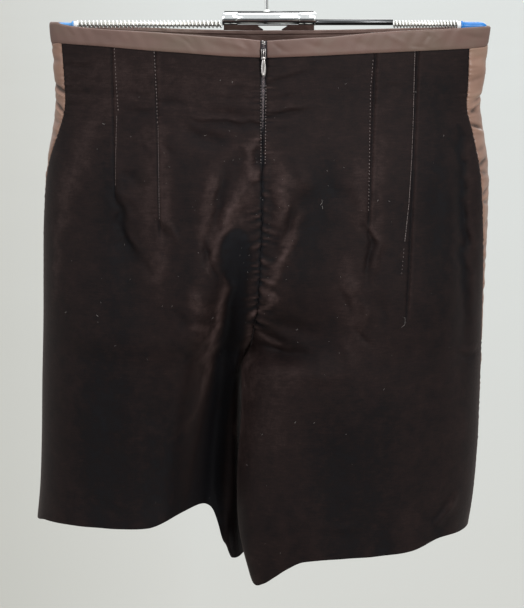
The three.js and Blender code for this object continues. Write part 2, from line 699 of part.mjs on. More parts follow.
// The lip under the body, with its notch.
function hangerLip() {
  const { top, shoulder, bottom, thick, length } = LIP;
  const outline = new THREE.Shape();
  const [left, right] = [BODY.x - length / 2, BODY.x + length / 2];
  outline.moveTo(left, top);
  outline.lineTo(left, bottom);
  outline.lineTo(NOTCH.x - NOTCH.bottom / 2, bottom);
  outline.lineTo(NOTCH.x - NOTCH.top / 2, shoulder);
  outline.lineTo(NOTCH.x + NOTCH.top / 2, shoulder);
  outline.lineTo(NOTCH.x + NOTCH.bottom / 2, bottom);
  outline.lineTo(right, bottom);
  outline.lineTo(right, top);
  outline.closePath();
  const lip = new THREE.ExtrudeGeometry(outline, { depth: thick, bevelEnabled: false });
  lip.rotateX(Math.PI / 2).translate(0, thick / 2, 0);
  return mesh("hanger_lip", lip, chrome);
}

function hangerArm({ name, from, to, radius, material: finish }) {
  const arm = barAlongX(radius, to - from, 16).translate((from + to) / 2, 0, ARM_Z);
  return mesh(name, arm, finish);
}

// A rubber cap: a turned body with a rounded end that pushes the waistband outwards from inside.
function hangerTip(name, { root, end }) {
  const length = Math.abs(end - root);
  const profile = [
    new THREE.Vector2(0, 0),
    new THREE.Vector2(TIP.radius, 0),
    new THREE.Vector2(TIP.radius, length * TIP.straight),
  ];
  for (let a = 0; a <= 90; a += 22.5) {
    const r = THREE.MathUtils.degToRad(a);
    const rise = TIP.endRadius * (1 - Math.sin(r));
    profile.push(new THREE.Vector2(TIP.endRadius * Math.cos(r), length - rise));
  }
  profile[profile.length - 1].x = 0;
  const cap = new THREE.LatheGeometry(profile, 16);
  cap.rotateZ(end < root ? Math.PI / 2 : -Math.PI / 2).translate(root, 0, ARM_Z);
  return mesh(name, cap, blueRubber);
}

// ---------- the whole part ----------

const shorts = new THREE.Group();
shorts.add(
  panel("back_left", LEFT, true, DARTS.leftBack, [4, 3, 11]),
  panel("back_right", RIGHT, true, DARTS.rightBack, [4, 3, 10]),
  panel("front_left", LEFT, false, DARTS.leftFront, [4, 7]),
  panel("front_right", RIGHT, false, DARTS.rightFront, [4, 7]),
  sideStripe("side_stripe_left", LEFT),
  sideStripe("side_stripe_right", RIGHT),
  backBand("waistband_back_left", LEFT),
  backBand("waistband_back_right", RIGHT),
  frontBand("waistband_front"),
  zipChain(),
  zipSlider(),
  zipPull(),
);

const hanger = new THREE.Group();
hanger.add(
  hookWire(),
  hangerBody(),
  hangerLip(),
  ...ARMS.map(hangerArm),
  hangerTip("left_tip", LEFT_TIP),
  hangerTip("right_tip", RIGHT_TIP),
);

const part = new THREE.Group();
part.add(shorts, hanger);

export default part;
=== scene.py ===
"""The looks of the velvet shorts and their hanger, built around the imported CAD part.

The row frame is the CAD's: +Z up, -Y towards the garment's back, which the camera sees, +X to the
camera's right. Sizes are in millimetres here, and mesh_piece() turns them into metres. The tables of
rings, hems, large folds and darts are the CAD's own, but for the left end of the waistband's top and the
place of the right stripe. What this file adds to them is the finer form.
"""
import math

import bmesh
import bpy
import numpy as np
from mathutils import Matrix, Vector


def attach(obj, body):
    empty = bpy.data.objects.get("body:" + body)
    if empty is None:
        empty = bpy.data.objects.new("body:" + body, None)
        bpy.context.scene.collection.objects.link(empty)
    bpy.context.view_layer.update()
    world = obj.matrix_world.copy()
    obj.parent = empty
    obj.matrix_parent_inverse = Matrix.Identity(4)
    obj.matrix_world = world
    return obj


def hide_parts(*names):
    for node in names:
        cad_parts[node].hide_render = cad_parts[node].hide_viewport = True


MM = 0.001
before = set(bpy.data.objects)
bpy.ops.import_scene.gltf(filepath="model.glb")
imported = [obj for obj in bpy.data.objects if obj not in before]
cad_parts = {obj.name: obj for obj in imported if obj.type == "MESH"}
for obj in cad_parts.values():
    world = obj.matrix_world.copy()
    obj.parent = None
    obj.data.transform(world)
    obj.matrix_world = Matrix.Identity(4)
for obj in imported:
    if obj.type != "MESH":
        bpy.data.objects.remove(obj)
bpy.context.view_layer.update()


# ---------- camera, and the picture's points ----------

# The picture is 524 by 608. Pixel places below are points of it, from its top left corner.
FRAME_HEIGHT = 608
OPTICAL_CENTRE = (262, 304)
FOCAL_PIXELS = 2310
CAMERA_PLACE = np.array([-4.0, -2000.0, 74.0])
AIM_Z = -342
TILT = math.atan((CAMERA_PLACE[2] - AIM_Z) / -CAMERA_PLACE[1])
SENSOR = 36


def make_camera():
    """The camera from which the photo was taken, as far as it can be told."""
    data = bpy.data.cameras.new("camera")
    data.sensor_width = SENSOR
    data.lens = FOCAL_PIXELS * SENSOR / FRAME_HEIGHT
    camera = bpy.data.objects.new("camera", data)
    camera.location = Vector(CAMERA_PLACE) * MM
    camera.rotation_euler = (math.pi / 2 - TILT, 0, 0)
    bpy.context.scene.collection.objects.link(camera)
    bpy.context.scene.camera = camera


def seen(px, py, y):
    """(X, Z) of the point that the picture shows at a pixel, at a given Y."""
    across = (px - OPTICAL_CENTRE[0]) / FOCAL_PIXELS
    down = (py - OPTICAL_CENTRE[1]) / FOCAL_PIXELS
    forward = math.cos(TILT) - down * math.sin(TILT)
    reach = (y - CAMERA_PLACE[1]) / forward
    fall = math.sin(TILT) + down * math.cos(TILT)
    return CAMERA_PLACE[0] + across * reach, CAMERA_PLACE[2] - fall * reach


# ---------- the cloth's sizes and its large form ----------

CLOTH = 2 # the thickness of a sheet
THINNEST = 0.8 # how far a sheet's inner face stays behind the floor of a deep crease
BAND_CLOTH = 3 # the waistband's thickness
BAND_PROUD = 0.5 # how far its outer face stands in front of the other sheets'
STRIPE_WIDTH = 30
SEAM = 0.3 # the gap between two pieces
ZIP_WIDTH = 3.2
COVER_Z = -193 # where the velvet has closed over the zip
ZIP_CLOSING = 52 # the height above it in which the velvet closes
ZIP_SHOWS = 1.1 # half the width in which the zip shows between the velvet's edges
SLIDER_LEVEL = 1.5 # the level above which the zip's whole width shows, beside the slider
BAND_SLOT = 6.2 # the gap between the waistband's ends, where the zip is
TORSO_FLATNESS = 0.55 # the reach of a ring's handle at the centre line, as a share of its width
LEG_FULLNESS = 1.33 # the same at a leg's inner side, as a share of its depth
FOLD_FADE = 22 # how near to a leg's inner seam the folds fade out
BAND_HOLD = 0.8 # the levels under the waistband in which the folds grow
BAND_LEVEL = 1
HEM_LEVEL = 13
HEM_FROM = 10.2 # the level from which the rows bend towards the hem's line
UNDER_BAND = 0.012 # how far under the waistband's edge the sheets start, in levels
DART_CREASE = 1.6 # a dart's depth
DART_HALF = 3 # half the width in which a dart has columns of its own
DART_SHARP = 1.5 # half the width of its crease
DART_FADE = 25 # the height round its point in which it fades out
RING_STEPS = 48
TINY = 1e-9


def table(names, rows):
    """Named columns of a short table."""
    return {name: np.array([row[i] for row in rows], float) for i, name in enumerate(names.split())}


# Levels from the waistband's top edge (0) over its lower edge (1) and the crotch (9) to the hem (13). back
# and front are the depths, round is how full the sides are, and turn is 1 where the cloth is a leg's.
LEVELS = table("back front round turn", [
    (45, 45, 0.35, 0),
    (47, 46, 0.35, 0),
    (55, 52, 0.38, 0),
    (63, 58, 0.42, 0),
    (72, 65, 0.46, 0),
    (84, 75, 0.56, 0),
    (92, 84, 0.66, 0),
    (99, 92, 0.78, 0.1),
    (103, 98, 0.92, 0.5),
    (96, 91, 1.16, 1),
    (91, 88, 1.28, 1),
    (88, 86, 1.33, 1),
    (88, 86, 1.33, 1),
    (88, 86, 1.33, 1),
])
# A side's two lines at each level: the outermost one, and the centre line that becomes the leg's inner
# seam. lean is how far the back wall swings sideways before that seam, and stripe how far the middle of
# the satin stripe has turned towards the front.
SIDE_COLUMNS = "side_x side_z seam_x seam_z seam_y lean stripe"
LEFT = {"sign": -1, "name": "left", "rows": table(SIDE_COLUMNS, [
    (-187, -93.7, -2.6, -104.6, 0, 0, 1),
    (-185.5, -112, -2.7, -121, 0, 0, 1),
    (-183.4, -143, -3, -151, 0, 0, -1),
    (-182.9, -165, -3.3, -172, 0, 0, -3),
    (-186, -187, -3.6, -193, 0, 0, -1),
    (-192, -222, -4, -228, 0, 0, 8),
    (-195.3, -267, -4.7, -274, 0, 0, 17),
    (-196.3, -310, -7.5, -322, 0, 0, 19),
    (-197, -346, -12.5, -362, 0, 0, 20),
    (-197.8, -372, -16.5, -388, 6, 0, 21),
    (-199.2, -410, -19.5, -427, 9, -12, 22),
    (-200.6, -460, -19.5, -480, 12, -12, 22),
    (-202.8, -505, -19, -530, 12, -8, 22),
    (-205.9, -534.4, -18, -560, 8, 0, 22),
])}
RIGHT = {"sign": 1, "name": "right", "rows": table(SIDE_COLUMNS, [
    (192.7, -97, -2.6, -104.6, 0, 0, -8),
    (191, -113, -2.7, -121, 0, 0, -8),
    (188.4, -143, -3, -151, 0, 0, -8),
    (185.2, -165, -3.3, -172, 0, 0, -8),
    (188.4, -187, -3.6, -193, 0, 0, -8),
    (193.3, -222, -4, -228, 0, 0, -10),
    (193.4, -267, -4.7, -274, 0, 0, -8.5),
    (192, -310, -7.5, -322, 0, 0, -4.5),
    (191, -346, -12.5, -362, 0, -36, 1.5),
    (190.7, -372, -14.5, -388, -7, -54, 6),
    (190, -410, -11, -427, -12, -68, 9),
    (189, -460, -10, -482, -14, -84, 12),
    (186, -508, -9, -535, -14, -84, 14),
    (182, -540, -7, -574, -12, -62, 15),
])}
# The height of the hem, as (X, Z).
HEM = {
    "left back": [
        (-205.9, -534.4), (-196, -527.5), (-162, -524), (-103, -522.5), (-78, -515.5), (-57, -519.5),
        (-48, -526), (-40, -545), (-33, -553), (-28, -565), (-18, -566),
    ],
    "right back": [
        (-28, -555), (-18, -564), (-11, -578), (-3, -575.5), (6, -568), (17, -559), (32, -551),
        (64, -547.5), (126, -545), (152, -538.3), (182, -540),
    ],
    "left front": [(-205.9, -534.4), (-140, -529), (-70, -532), (-18, -566)],
    "right front": [(-7, -576.5), (50, -548), (120, -541), (182, -540)],
}
# Large folds, each a line of (X, Z, half width, depth into the garment).
BACK_FOLDS = [
    [(-20, -268, 9, 0), (-33, -330, 13, 22), (-42, -385, 15, 36), (-48, -445, 17, 43), (-55, -535, 19, 50)],
    [(-52, -262, 14, 0), (-62, -345, 15, -6), (-84, -450, 16, -6), (-96, -535, 20, -2)],
    [(-128, -232, 12, 0), (-121, -275, 13, 6), (-108, -345, 14, 0)],
    [(-2, -352, 7, 0), (12, -368, 8, 7), (44, -376, 9, 0)],
    [(-2, -335, 8, 0), (16, -344, 8, 5), (50, -352, 9, 0)],
    [(34, -222, 10, 0), (14, -275, 10, 6), (-4, -335, 8, 0)],
    [(170, -180, 9, 0), (171, -260, 9, 6), (172, -350, 10, 4), (166, -450, 12, 0)],
    [(-66, -166, 6, 0), (-32, -168, 6, 3.5), (-6, -170, 5, 1)],
    [(-80, -180, 8, 0), (-48, -184, 8, 4), (-10, -182, 6, 0)],
]
FRONT_FOLDS = [
    [(-40, -300, 14, 0), (-52, -400, 16, 16), (-60, -535, 20, 22)],
    [(30, -310, 14, 0), (40, -410, 16, 12), (46, -545, 20, 18)],
    [(120, -240, 14, 0), (126, -330, 15, 6), (122, -440, 16, 0)],
]
# Darts: X at the waistband, X and Z at the point, X at the hem.
DARTS = {
    "left back": [(-132, -129, -238, -126), (-94.5, -90, -262, -88)],
    "right back": [(129, 119, -335, 112), (93, 86, -262, 82)],
    "left front": [(-96, -94, -220, -92)],
    "right front": [(92, 90, -220, 88)],
}
DART_TOP_Z, DART_HEM_Z = -112, -534.4
CROTCH_LEVEL = 8.9
CROTCH_LEAN = 1.0
CROTCH_HEIGHT = 0.55 # in levels
CROTCH_REACH = 9
# The back waistband's edges in the picture, as (pixel X, pixel Y).
BAND_TOP = [
    (48, 22.4), (56, 22.4), (62, 24.6), (68, 25.8), (76, 26.8), (87, 28), (103, 29.2), (116, 30), (154, 32.2),
    (200, 35.6), (243, 38.6), (264, 41), (290, 39.4), (310, 38), (330, 37.2), (350, 35), (375, 32.7),
    (400, 31), (440, 29.4), (490, 26.4),
]
BAND_FOOT = [
    (48, 42.4), (61, 43.4), (100, 46), (150, 50.5), (180, 52.5), (225, 56), (251, 57), (269, 57.6), (282, 57),
    (310, 56), (372, 53), (416, 51), (468, 48.5), (490, 46.4),
]
BAND_SHIFT_FROM = 10 # how far from the side line it has its full size
BAND_SHIFT_FADE = 1.1 # the levels over which it fades out in the velvet


# ---------- the finer folds of the back, as the picture shows them ----------

# Each fold is a line of (pixel X, pixel Y, half width, depth), the last two in millimetres. A depth
# over 0 goes into the garment, and one under 0 stands out as a ridge.
FINE_FOLDS = {
    "creases left of the zip": [
        [(186, 116, 2.2, 0), (205, 118, 2.2, -1.2), (235, 120, 2.2, -1.6), (260, 121, 2, -1.2)],
        [(196, 122, 3.5, 0.6), (230, 125.5, 4, 2.4), (259, 127, 4, 1.8)],
        [(156, 102, 2.6, 0.5), (172, 105, 3, 1.5), (192, 107, 3, 0)],
        [(176, 134, 6, 0), (195, 140, 6, 2.2), (215, 143, 6, 2.2), (234, 140, 6, 0)],
        [(205, 132, 4, 0), (222, 134, 4, -1.3), (240, 131, 4, 0)],
        [(200, 96, 2.5, 0), (230, 99, 2.5, 0.8), (258, 100, 2.5, 0.6)],
        [(188, 76, 2.2, 0), (206, 78, 2.4, 0.7), (226, 79, 2.2, 0)],
        [(222, 88, 2, 0), (244, 90, 2, 0.7), (259, 91, 2, 0.5)],
        [(210, 70, 2, 0), (240, 74, 2.2, -0.5), (259, 75, 2.2, -0.5)],
    ],
    "creases by the left side": [
        [(60, 58, 2, 0.7), (76, 57, 2.2, 0.7), (96, 56, 2, 0)],
        [(62, 69, 1.8, 0.8), (80, 70, 2.2, 1.2), (94, 70, 2, 0)],
        [(62, 63, 1.8, -0.6), (84, 64, 2, -0.8), (100, 64, 2, 0)],
        [(64, 84, 1.8, 0.8), (78, 83, 2.2, 0.7), (98, 82, 2, 0)],
        [(64, 98, 1.8, 0.9), (82, 97, 2.4, 0.6), (104, 96, 2, 0)],
        [(63, 112, 1.8, 0.7), (76, 110, 2.4, 0.5), (96, 107, 2, 0)],
        [(120, 94, 2.4, 0), (136, 96, 2.6, 0.9), (152, 99, 2.4, 0.3)],
        [(119, 112, 3, 0), (134, 115, 3.6, 1.6), (152, 114, 3, 0.6)],
    ],
    "fold under the outer left dart": [
        [(112, 150, 4, 0), (111, 196, 4.5, 2.2), (120, 212, 4.5, 3), (122, 246, 5, 3), (133, 262, 4, 1.6),
         (146, 270, 4, 0)],
        [(117, 150, 3.2, 0), (116.5, 190, 3.2, -1.6), (127, 214, 3.6, -2), (129, 244, 4, -1.8),
         (140, 258, 4, 0)],
        [(120, 176, 3.4, 0.4), (131, 179, 5, 2.2), (139, 188, 4.4, 1.2)],
        [(118, 195, 2.6, -0.5), (128, 199, 2.8, -1.4), (137, 207, 2.6, -0.4)],
        [(134, 136, 3.6, 0), (143, 146, 3.4, -1), (150, 156, 3.6, 0)],
        [(141, 126, 2.4, 0), (142, 148, 2.6, 1.1), (145, 158, 2.4, 0)],
    ],
    "hook at the end of the inner left dart": [
        [(158, 222, 2.4, 1), (162, 234, 3, 2.6), (168, 239, 3, 1.2)],
        [(163, 221, 2, -0.5), (171, 228, 2.4, -1.6), (175, 238, 2.4, -1.2), (175, 250, 2.4, 0)],
        [(140, 262, 3, 0), (148, 272, 3.4, 1.6), (154, 284, 3, 0)],
        [(150, 250, 4, 0), (158, 262, 4.4, -1.4), (166, 280, 4, 0)],
        [(163, 146, 2.4, 0.8), (170, 152, 3, 1.4), (178, 153, 2.6, 0)],
    ],
    "ridges that turn from the zip into the left leg": [
        [(262, 137, 4, -1), (247, 149, 4.2, -2.6), (246, 164, 4.4, -2.8), (257, 178, 4, -1.6)],
        [(257, 178, 4, -1), (240, 192, 5, -3), (229, 212, 5, -3.8), (219, 240, 4.8, -3.4),
         (210, 273, 4, -0.8)],
        [(258, 152, 3.4, 1.6), (254, 158, 4.2, 3), (258, 164, 3.4, 1.4)],
        [(252, 204, 4, 1.4), (244, 212, 5, 2), (238, 222, 4, 0.6)],
        [(238, 148, 4, 0), (223, 180, 4, 2.2), (219, 205, 4.6, 2.4), (213, 236, 5, 2.2), (207, 262, 4, 0.8)],
        [(222, 166, 4, 0), (211, 194, 5, -1.8), (205, 226, 5, -1.4), (199, 242, 4, 0)],
        [(201, 238, 2.4, 0.5), (206, 252, 2.8, 3), (211, 264, 2.8, 3.4), (216, 279, 2.8, 2),
         (219, 292, 2.6, 0)],
        [(226, 288, 4.6, -2.4), (218, 330, 5.6, -4), (208, 363, 5.6, -4), (205, 394, 6.5, -3),
         (184, 440, 8, 0)],
        [(186, 292, 3, 0), (197, 300, 3.4, -1.8), (208, 311, 3, 0)],
        [(192, 318, 3, 0.2), (203, 325, 3.4, 1.8), (214, 329, 3, 0)],
        [(187, 334, 3, 0), (198, 341, 3.4, -1.6), (209, 349, 3, 0)],
        [(170, 308, 4, 0), (182, 322, 4.4, 1.6), (190, 338, 4, 0)],
        [(176, 352, 4, 0), (190, 360, 4.4, 1.4), (203, 362, 4, 0)],
        [(238, 368, 2.4, -0.8), (235, 384, 2.4, -2), (233, 402, 2.4, 0)],
    ],
    "creases right of the zip": [
        [(268, 86, 2.4, 0.9), (296, 76, 2.8, 1.4), (327, 63, 2.4, 0)],
        [(268, 81, 2, -0.6), (292, 71, 2.2, -0.9), (316, 61, 2, 0)],
        [(268, 117, 2.8, 1.4), (292, 114, 3, 1.8), (321, 109, 2.8, 0)],
        [(268, 111, 2.2, -0.8), (290, 108, 2.4, -1.2), (312, 104, 2.2, 0)],
        [(268, 101, 2, 0.6), (286, 98, 2.2, 0.9), (304, 92, 2, 0)],
        [(268, 129, 2.6, 0.7), (284, 131, 3, 1.1), (302, 129, 2.8, 0)],
        [(320, 84, 3, 0), (340, 80, 3.4, 0.8), (364, 78, 3, 0)],
        [(380, 92, 3, 0), (396, 90, 3, 0.7), (410, 92, 3, 0)],
    ],
    "ridges right of the centre seam": [
        [(281, 150, 4.4, 0), (285, 207, 5, -2.4), (282, 254, 5, -3), (270, 289, 4, -1.4)],
        [(300, 214, 3.4, -0.8), (292, 238, 3.8, -2.6), (283, 262, 4, -2.8), (273, 284, 3.6, -0.8)],
        [(293, 206, 3, 0.4), (289, 226, 3.2, 2), (284, 244, 3.2, 0.8)],
        [(268, 160, 4, 0.4), (271, 200, 4, 1.6), (269, 238, 4, 1.2), (264, 270, 3.4, 0.6)],
        [(330, 146, 13, 0), (326, 190, 15, 3), (312, 232, 13, 2), (300, 280, 11, 0)],
        [(359, 160, 7, 0), (360, 200, 8, -2), (362, 230, 7, 0)],
        [(296, 156, 5, 0), (300, 180, 5, -1.2), (297, 204, 5, 0)],
    ],
    "pucker under the inner right dart": [
        [(366, 228, 2.6, 1.4), (373, 243, 2.8, 3), (368, 263, 2.8, 3), (366, 287, 2.6, 0.4)],
        [(373, 230, 2.6, -0.8), (380, 245, 3.4, -1.8), (375, 264, 3.4, -2), (372, 284, 3, 0)],
        [(345, 276, 4, 0), (352, 290, 4.4, -1.8), (356, 308, 4, 0)],
        [(340, 288, 3, 0.2), (346, 304, 3.4, 1.6), (352, 320, 3, 0)],
        [(362, 298, 3, 0), (367, 314, 3.4, -1.6), (364, 332, 3, 0)],
        [(352, 326, 3.4, 0), (360, 340, 3.6, 1.6), (370, 350, 3.4, 0)],
        [(338, 336, 4, 0), (348, 352, 4.4, -1.2), (352, 372, 4, 0)],
        [(376, 292, 4, 0), (384, 312, 4.6, 1.2), (384, 334, 4, 0)],
    ],
    "folds by the right side": [
        [(462, 122, 3.4, 0.4), (464, 160, 4, 2.6), (467, 220, 4.4, 3.4), (469, 300, 4.4, 2.6),
         (470, 356, 4, 0.4)],
        [(471, 146, 3.4, 0), (475, 220, 3.4, -1.2), (477, 300, 3.4, -1), (477, 350, 3.4, 0)],
        [(461, 360, 2.4, 0), (471, 363, 2.4, -1.6), (481, 364, 2.4, -1.6)],
        [(462, 367, 2.8, 0), (472, 370, 2.8, 1.5), (480, 371, 2.8, 1.2)],
        [(460, 505, 2.8, -0.8), (452, 518, 3, -2.2), (443, 531, 2.8, -1.6)],
        [(452, 503, 3.4, 0.4), (444, 516, 3.6, 1.8), (436, 528, 3.4, 1)],
        [(446, 150, 6, 0), (440, 210, 8, 1.4), (436, 290, 9, 0)],
    ],
    "folds that spread from the crotch": [
        [(253, 331, 2.8, 0.8), (268, 341, 3.4, 2.6), (284, 348, 4.4, 1.8), (304, 351, 4.6, 0)],
        [(256, 343, 2.6, -1.2), (276, 350, 3.4, -2), (298, 355, 4, 0)],
        [(257, 353, 2.8, 1), (284, 360, 4, 3), (320, 358, 5, 0)],
        [(254, 318, 2.4, -1.8), (262, 324, 2.6, -2.4), (271, 330, 2.6, 0)],
        [(258, 308, 2.4, 1.2), (266, 314, 2.6, 1.8), (276, 318, 2.4, 0)],
        [(257, 300, 2.4, -1.2), (268, 303, 2.6, -1.8), (279, 301, 2.4, 0)],
        [(284, 374, 6, 0), (320, 378, 7, -1.4), (360, 372, 7, 0)],
    ],
    "soft waves of the legs": [
        [(318, 400, 16, 0), (330, 450, 18, 2.4), (336, 530, 18, 1.6)],
        [(404, 380, 16, 0), (408, 450, 18, -2), (404, 530, 18, -1.4)],
        [(92, 330, 14, 0), (96, 400, 17, 2.2), (92, 500, 18, 1.8)],
        [(136, 360, 15, 0), (138, 430, 17, -1.6), (132, 505, 17, -1.2)],
        [(160, 390, 10, 0), (166, 440, 12, 1.8), (160, 500, 12, 1)],
        [(326, 524, 3, 0), (342, 527, 3.2, -1), (360, 523, 3, 0)],
    ],
}

# How the pile lies, with painted highlights on ridges and painted shade in folds and hollows: lines of (pixel
# X, pixel Y, half width in millimetres, lightness).
NAP_AND_PAINTED_LIGHT = {
    "over the back": [
        [(60, 78, 24, 0.26), (150, 84, 26, 0.3), (250, 92, 22, 0.24)],
        [(275, 84, 20, 0.06), (360, 84, 26, -0.02), (455, 84, 22, -0.06)],
        [(98, 112, 13, 0.2), (78, 160, 12, 0.42), (61, 206, 8, 0.5), (53, 250, 4.5, 0.45),
         (50, 310, 4, 0.25)],
        [(104, 132, 6, -0.1), (104, 170, 10, -0.34), (112, 230, 16, -0.4), (118, 310, 22, -0.34),
         (112, 380, 24, -0.2)],
        [(150, 136, 8, 0.3), (147, 200, 8, 0.34), (150, 262, 9, 0.3), (160, 310, 9, 0.14)],
        [(163, 130, 4.5, 0.24), (166, 190, 5, 0.5), (166, 236, 5, 0.36), (158, 272, 8, 0.26)],
        [(184, 170, 8, -0.1), (186, 226, 9, -0.3), (182, 290, 9, -0.14)],
        [(262, 136, 3.4, 0.3), (248, 148, 4, 0.5), (246, 164, 4, 0.5), (257, 178, 4, 0.4)],
        [(258, 172, 5, 0.4), (240, 190, 7, 0.5), (228, 214, 6, 0.6), (213, 236, 5, 0.5), (210, 268, 4, 0.4)],
        [(232, 150, 7, 0.2), (212, 180, 6, 0.4), (204, 214, 4, 0.34), (202, 244, 3, 0.4)],
        [(250, 204, 9, 0.3), (238, 222, 8, 0.3)],
        [(252, 196, 6, 0.36), (241, 216, 6, 0.3)],
        [(212, 186, 5, 0.3), (206, 226, 5, 0.24)],
        [(211, 264, 2.4, 0.3), (216, 243, 2.6, 0.5), (224, 230.5, 2.6, 0.5), (235, 225.5, 2.6, 0.4)],
        [(254, 352, 5, 0.35), (250, 384, 7, 0.5), (247, 420, 7, 0.4), (243, 470, 6, 0.3)],
        [(254, 317, 2.2, 0.8), (263, 311, 2.2, 0.9), (276, 303, 2.2, 0.7)],
        [(262, 298, 2.4, 0.5), (270, 294, 2.6, 0.6), (277, 298, 2.2, 0.4)],
        [(440, 96, 14, -0.14), (438, 170, 17, -0.4), (442, 250, 16, -0.4), (436, 340, 16, -0.16)],
        [(196, 298, 6, 0.36), (205, 345, 6, 0.3), (190, 386, 7, 0.1)],
        [(226, 290, 2.4, 0.4), (216, 335, 2.8, 0.7), (208, 363, 2.8, 0.5), (206, 394, 2.8, 0.6),
         (186, 438, 2.4, 0.3)],
        [(270, 150, 7, 0.35), (284, 186, 9, 0.65), (282, 208, 7, 0.6), (274, 232, 5, 0.4)],
        [(298, 218, 4, 0.3), (288, 244, 4.2, 0.55), (278, 268, 4, 0.5), (268, 287, 3.6, 0.5)],
        [(261, 310, 2.2, 0.5), (270, 301, 2.6, 0.7), (277, 294, 2.2, 0.3)],
        [(251, 322, 2.2, 0.5), (258, 313, 2.4, 0.6)],
        [(251, 334, 3.4, 0.7), (262, 343, 4.4, 0.6), (284, 353, 5, 0.2)],
        [(224, 280, 2.4, 0.5), (222, 296, 2.6, 0.5), (220, 320, 2.6, 0.4), (210, 346, 3, 0.4)],
        [(194, 303, 4, 0.5), (206, 312, 4, 0.3)],
        [(194, 328, 4, 0.5), (205, 332, 4, 0.3)],
        [(292, 206, 3.4, -0.2), (280, 232, 3.6, -0.4), (274, 246, 3, -0.2)],
        [(330, 136, 10, -0.04), (326, 190, 14, -0.34), (306, 240, 11, -0.3), (300, 300, 11, -0.1)],
        [(360, 166, 6, 0.2), (361, 228, 6, 0.34)],
        [(384, 110, 6, 0.14), (380, 190, 6, 0.36), (378, 236, 5, 0.3)],
        [(348, 262, 8, 0.24), (350, 300, 11, 0.34), (360, 352, 11, 0.22)],
        [(402, 160, 8, -0.1), (394, 262, 10, -0.2)],
        [(249, 340, 3, 0.9), (243.5, 384, 2.6, 1), (236, 466, 2.2, 0.8)],
        [(280, 378, 18, 0.3), (272, 440, 17, 0.16), (266, 510, 18, 0)],
        [(126, 440, 50, -0.5), (140, 510, 50, -0.5)],
        [(384, 440, 46, -0.34), (372, 530, 50, -0.36)],
        [(474, 150, 3, 0.16), (477, 300, 3.6, -0.05), (473, 430, 4, -0.15)],
        [(463, 132, 2.8, -0.3), (467, 220, 3.6, -0.45), (469, 300, 3.6, -0.35)],
    ],
}
# The painted shade of the dark hollow that starts in an arch beside the centre seam, as (pixel Y, left X,
# right X).
PAINTED_HOLLOW_SHADE = [
    (227, 237, 239), (230, 229, 245), (236, 222, 250), (246, 219, 252), (262, 219, 251.5), (276, 221.5, 250),
    (290, 225.5, 247.5), (305, 225, 247.5), (320, 224, 248), (335, 220, 246.5), (350, 216.5, 244),
    (380, 210.5, 239), (410, 206, 234), (450, 197, 226), (500, 188, 222), (560, 180, 222),
]
# The pile's lay with its painted highlights and painted shade, and the fine folds, of the hidden front, in X
# and Z in place of pixels.
FRONT_NAP_AND_PAINTED_LIGHT = [
    [(-150, -140, 24, 0.22), (0, -150, 28, 0.24), (150, -140, 24, 0.18)],
    [(-150, -220, 14, 0.3), (-172, -300, 10, 0.36), (-176, -400, 10, 0.16)],
    [(-118, -230, 12, -0.3), (-110, -330, 16, -0.3)],
    [(-30, -210, 10, 0.3), (-42, -290, 9, 0.5), (-60, -370, 8, 0.4)],
    [(24, -220, 12, 0.3), (34, -300, 10, 0.4), (60, -380, 10, 0.3)],
    [(112, -240, 14, -0.3), (124, -340, 16, -0.26)],
    [(-100, -460, 50, -0.3), (90, -470, 50, -0.2)],
]
FRONT_FINE_FOLDS = [
    [(-6, -190, 4, 0.4), (-30, -196, 4.4, 1.8), (-66, -190, 4, 0)],
    [(6, -176, 4, 0.4), (34, -180, 4.4, 1.6), (70, -172, 4, 0)],
    [(-8, -330, 4, 1), (-34, -344, 5, 2.4), (-70, -350, 5, 0)],
    [(2, -340, 4, 1), (30, -352, 5, 2.6), (72, -356, 5, 0)],
    [(-96, -224, 4, 1.6), (-104, -246, 4.4, 2.2), (-98, -280, 4, 0)],
    [(90, -224, 4, 1.4), (99, -250, 4.4, 2.2), (92, -286, 4, 0)],
    [(-60, -250, 7, 0), (-70, -300, 8, -2.4), (-96, -370, 8, 0)],
    [(60, -240, 7, 0), (74, -310, 8, -2.2), (84, -380, 8, 0)],
    [(150, -200, 7, 0), (158, -280, 8, 2.4), (154, -380, 8, 0)],
    [(-150, -260, 8, 0), (-154, -340, 9, -2), (-150, -430, 9, 0)],
]


# ---------- small maths ----------


def mix(a, b, t):
    return a + (b - a) * t


def bell(distance, half):
    """A bell curve: 1 at a distance of 0, and soon 0 past the half width."""
    return np.exp(-((distance / half) ** 2))


def smooth(t):
    t = np.clip(t, 0, 1)
    return t * t * (3 - 2 * t)


def hermite(a, slope_a, b, slope_b, t):
    value = a * (1 + 2 * t) * (1 - t) ** 2 + b * t * t * (3 - 2 * t)
    return value + slope_a * t * (1 - t) ** 2 + slope_b * t * t * (t - 1)


def column(values, level):
    """A table's column at levels between its rows, on a smooth curve through them."""
    level = np.asarray(level, float)
    padded = np.concatenate([values[:1], values, values[-1:]])
    i = np.clip(np.floor(level).astype(int), 0, len(values) - 2)
    a, b, c, d = (padded[i + k] for k in range(4))
    return hermite(b, (c - a) / 2, c, (d - b) / 2, level - i)


def hem_z(points, x):
    """The height of a hem table at X, on a smooth curve through its points."""
    px, pz = np.array(points, float).T
    last = len(px) - 1
    i = np.clip(np.searchsorted(px, x, side="right") - 1, 0, last - 1)
    before, after = np.maximum(np.arange(last + 1) - 1, 0), np.minimum(np.arange(last + 1) + 1, last)
    slope = (pz[after] - pz[before]) / (px[after] - px[before])
    gap = px[i + 1] - px[i]
    t = np.clip((x - px[i]) / gap, 0, 1)
    return hermite(pz[i], slope[i] * gap, pz[i + 1], slope[i + 1] * gap, t)


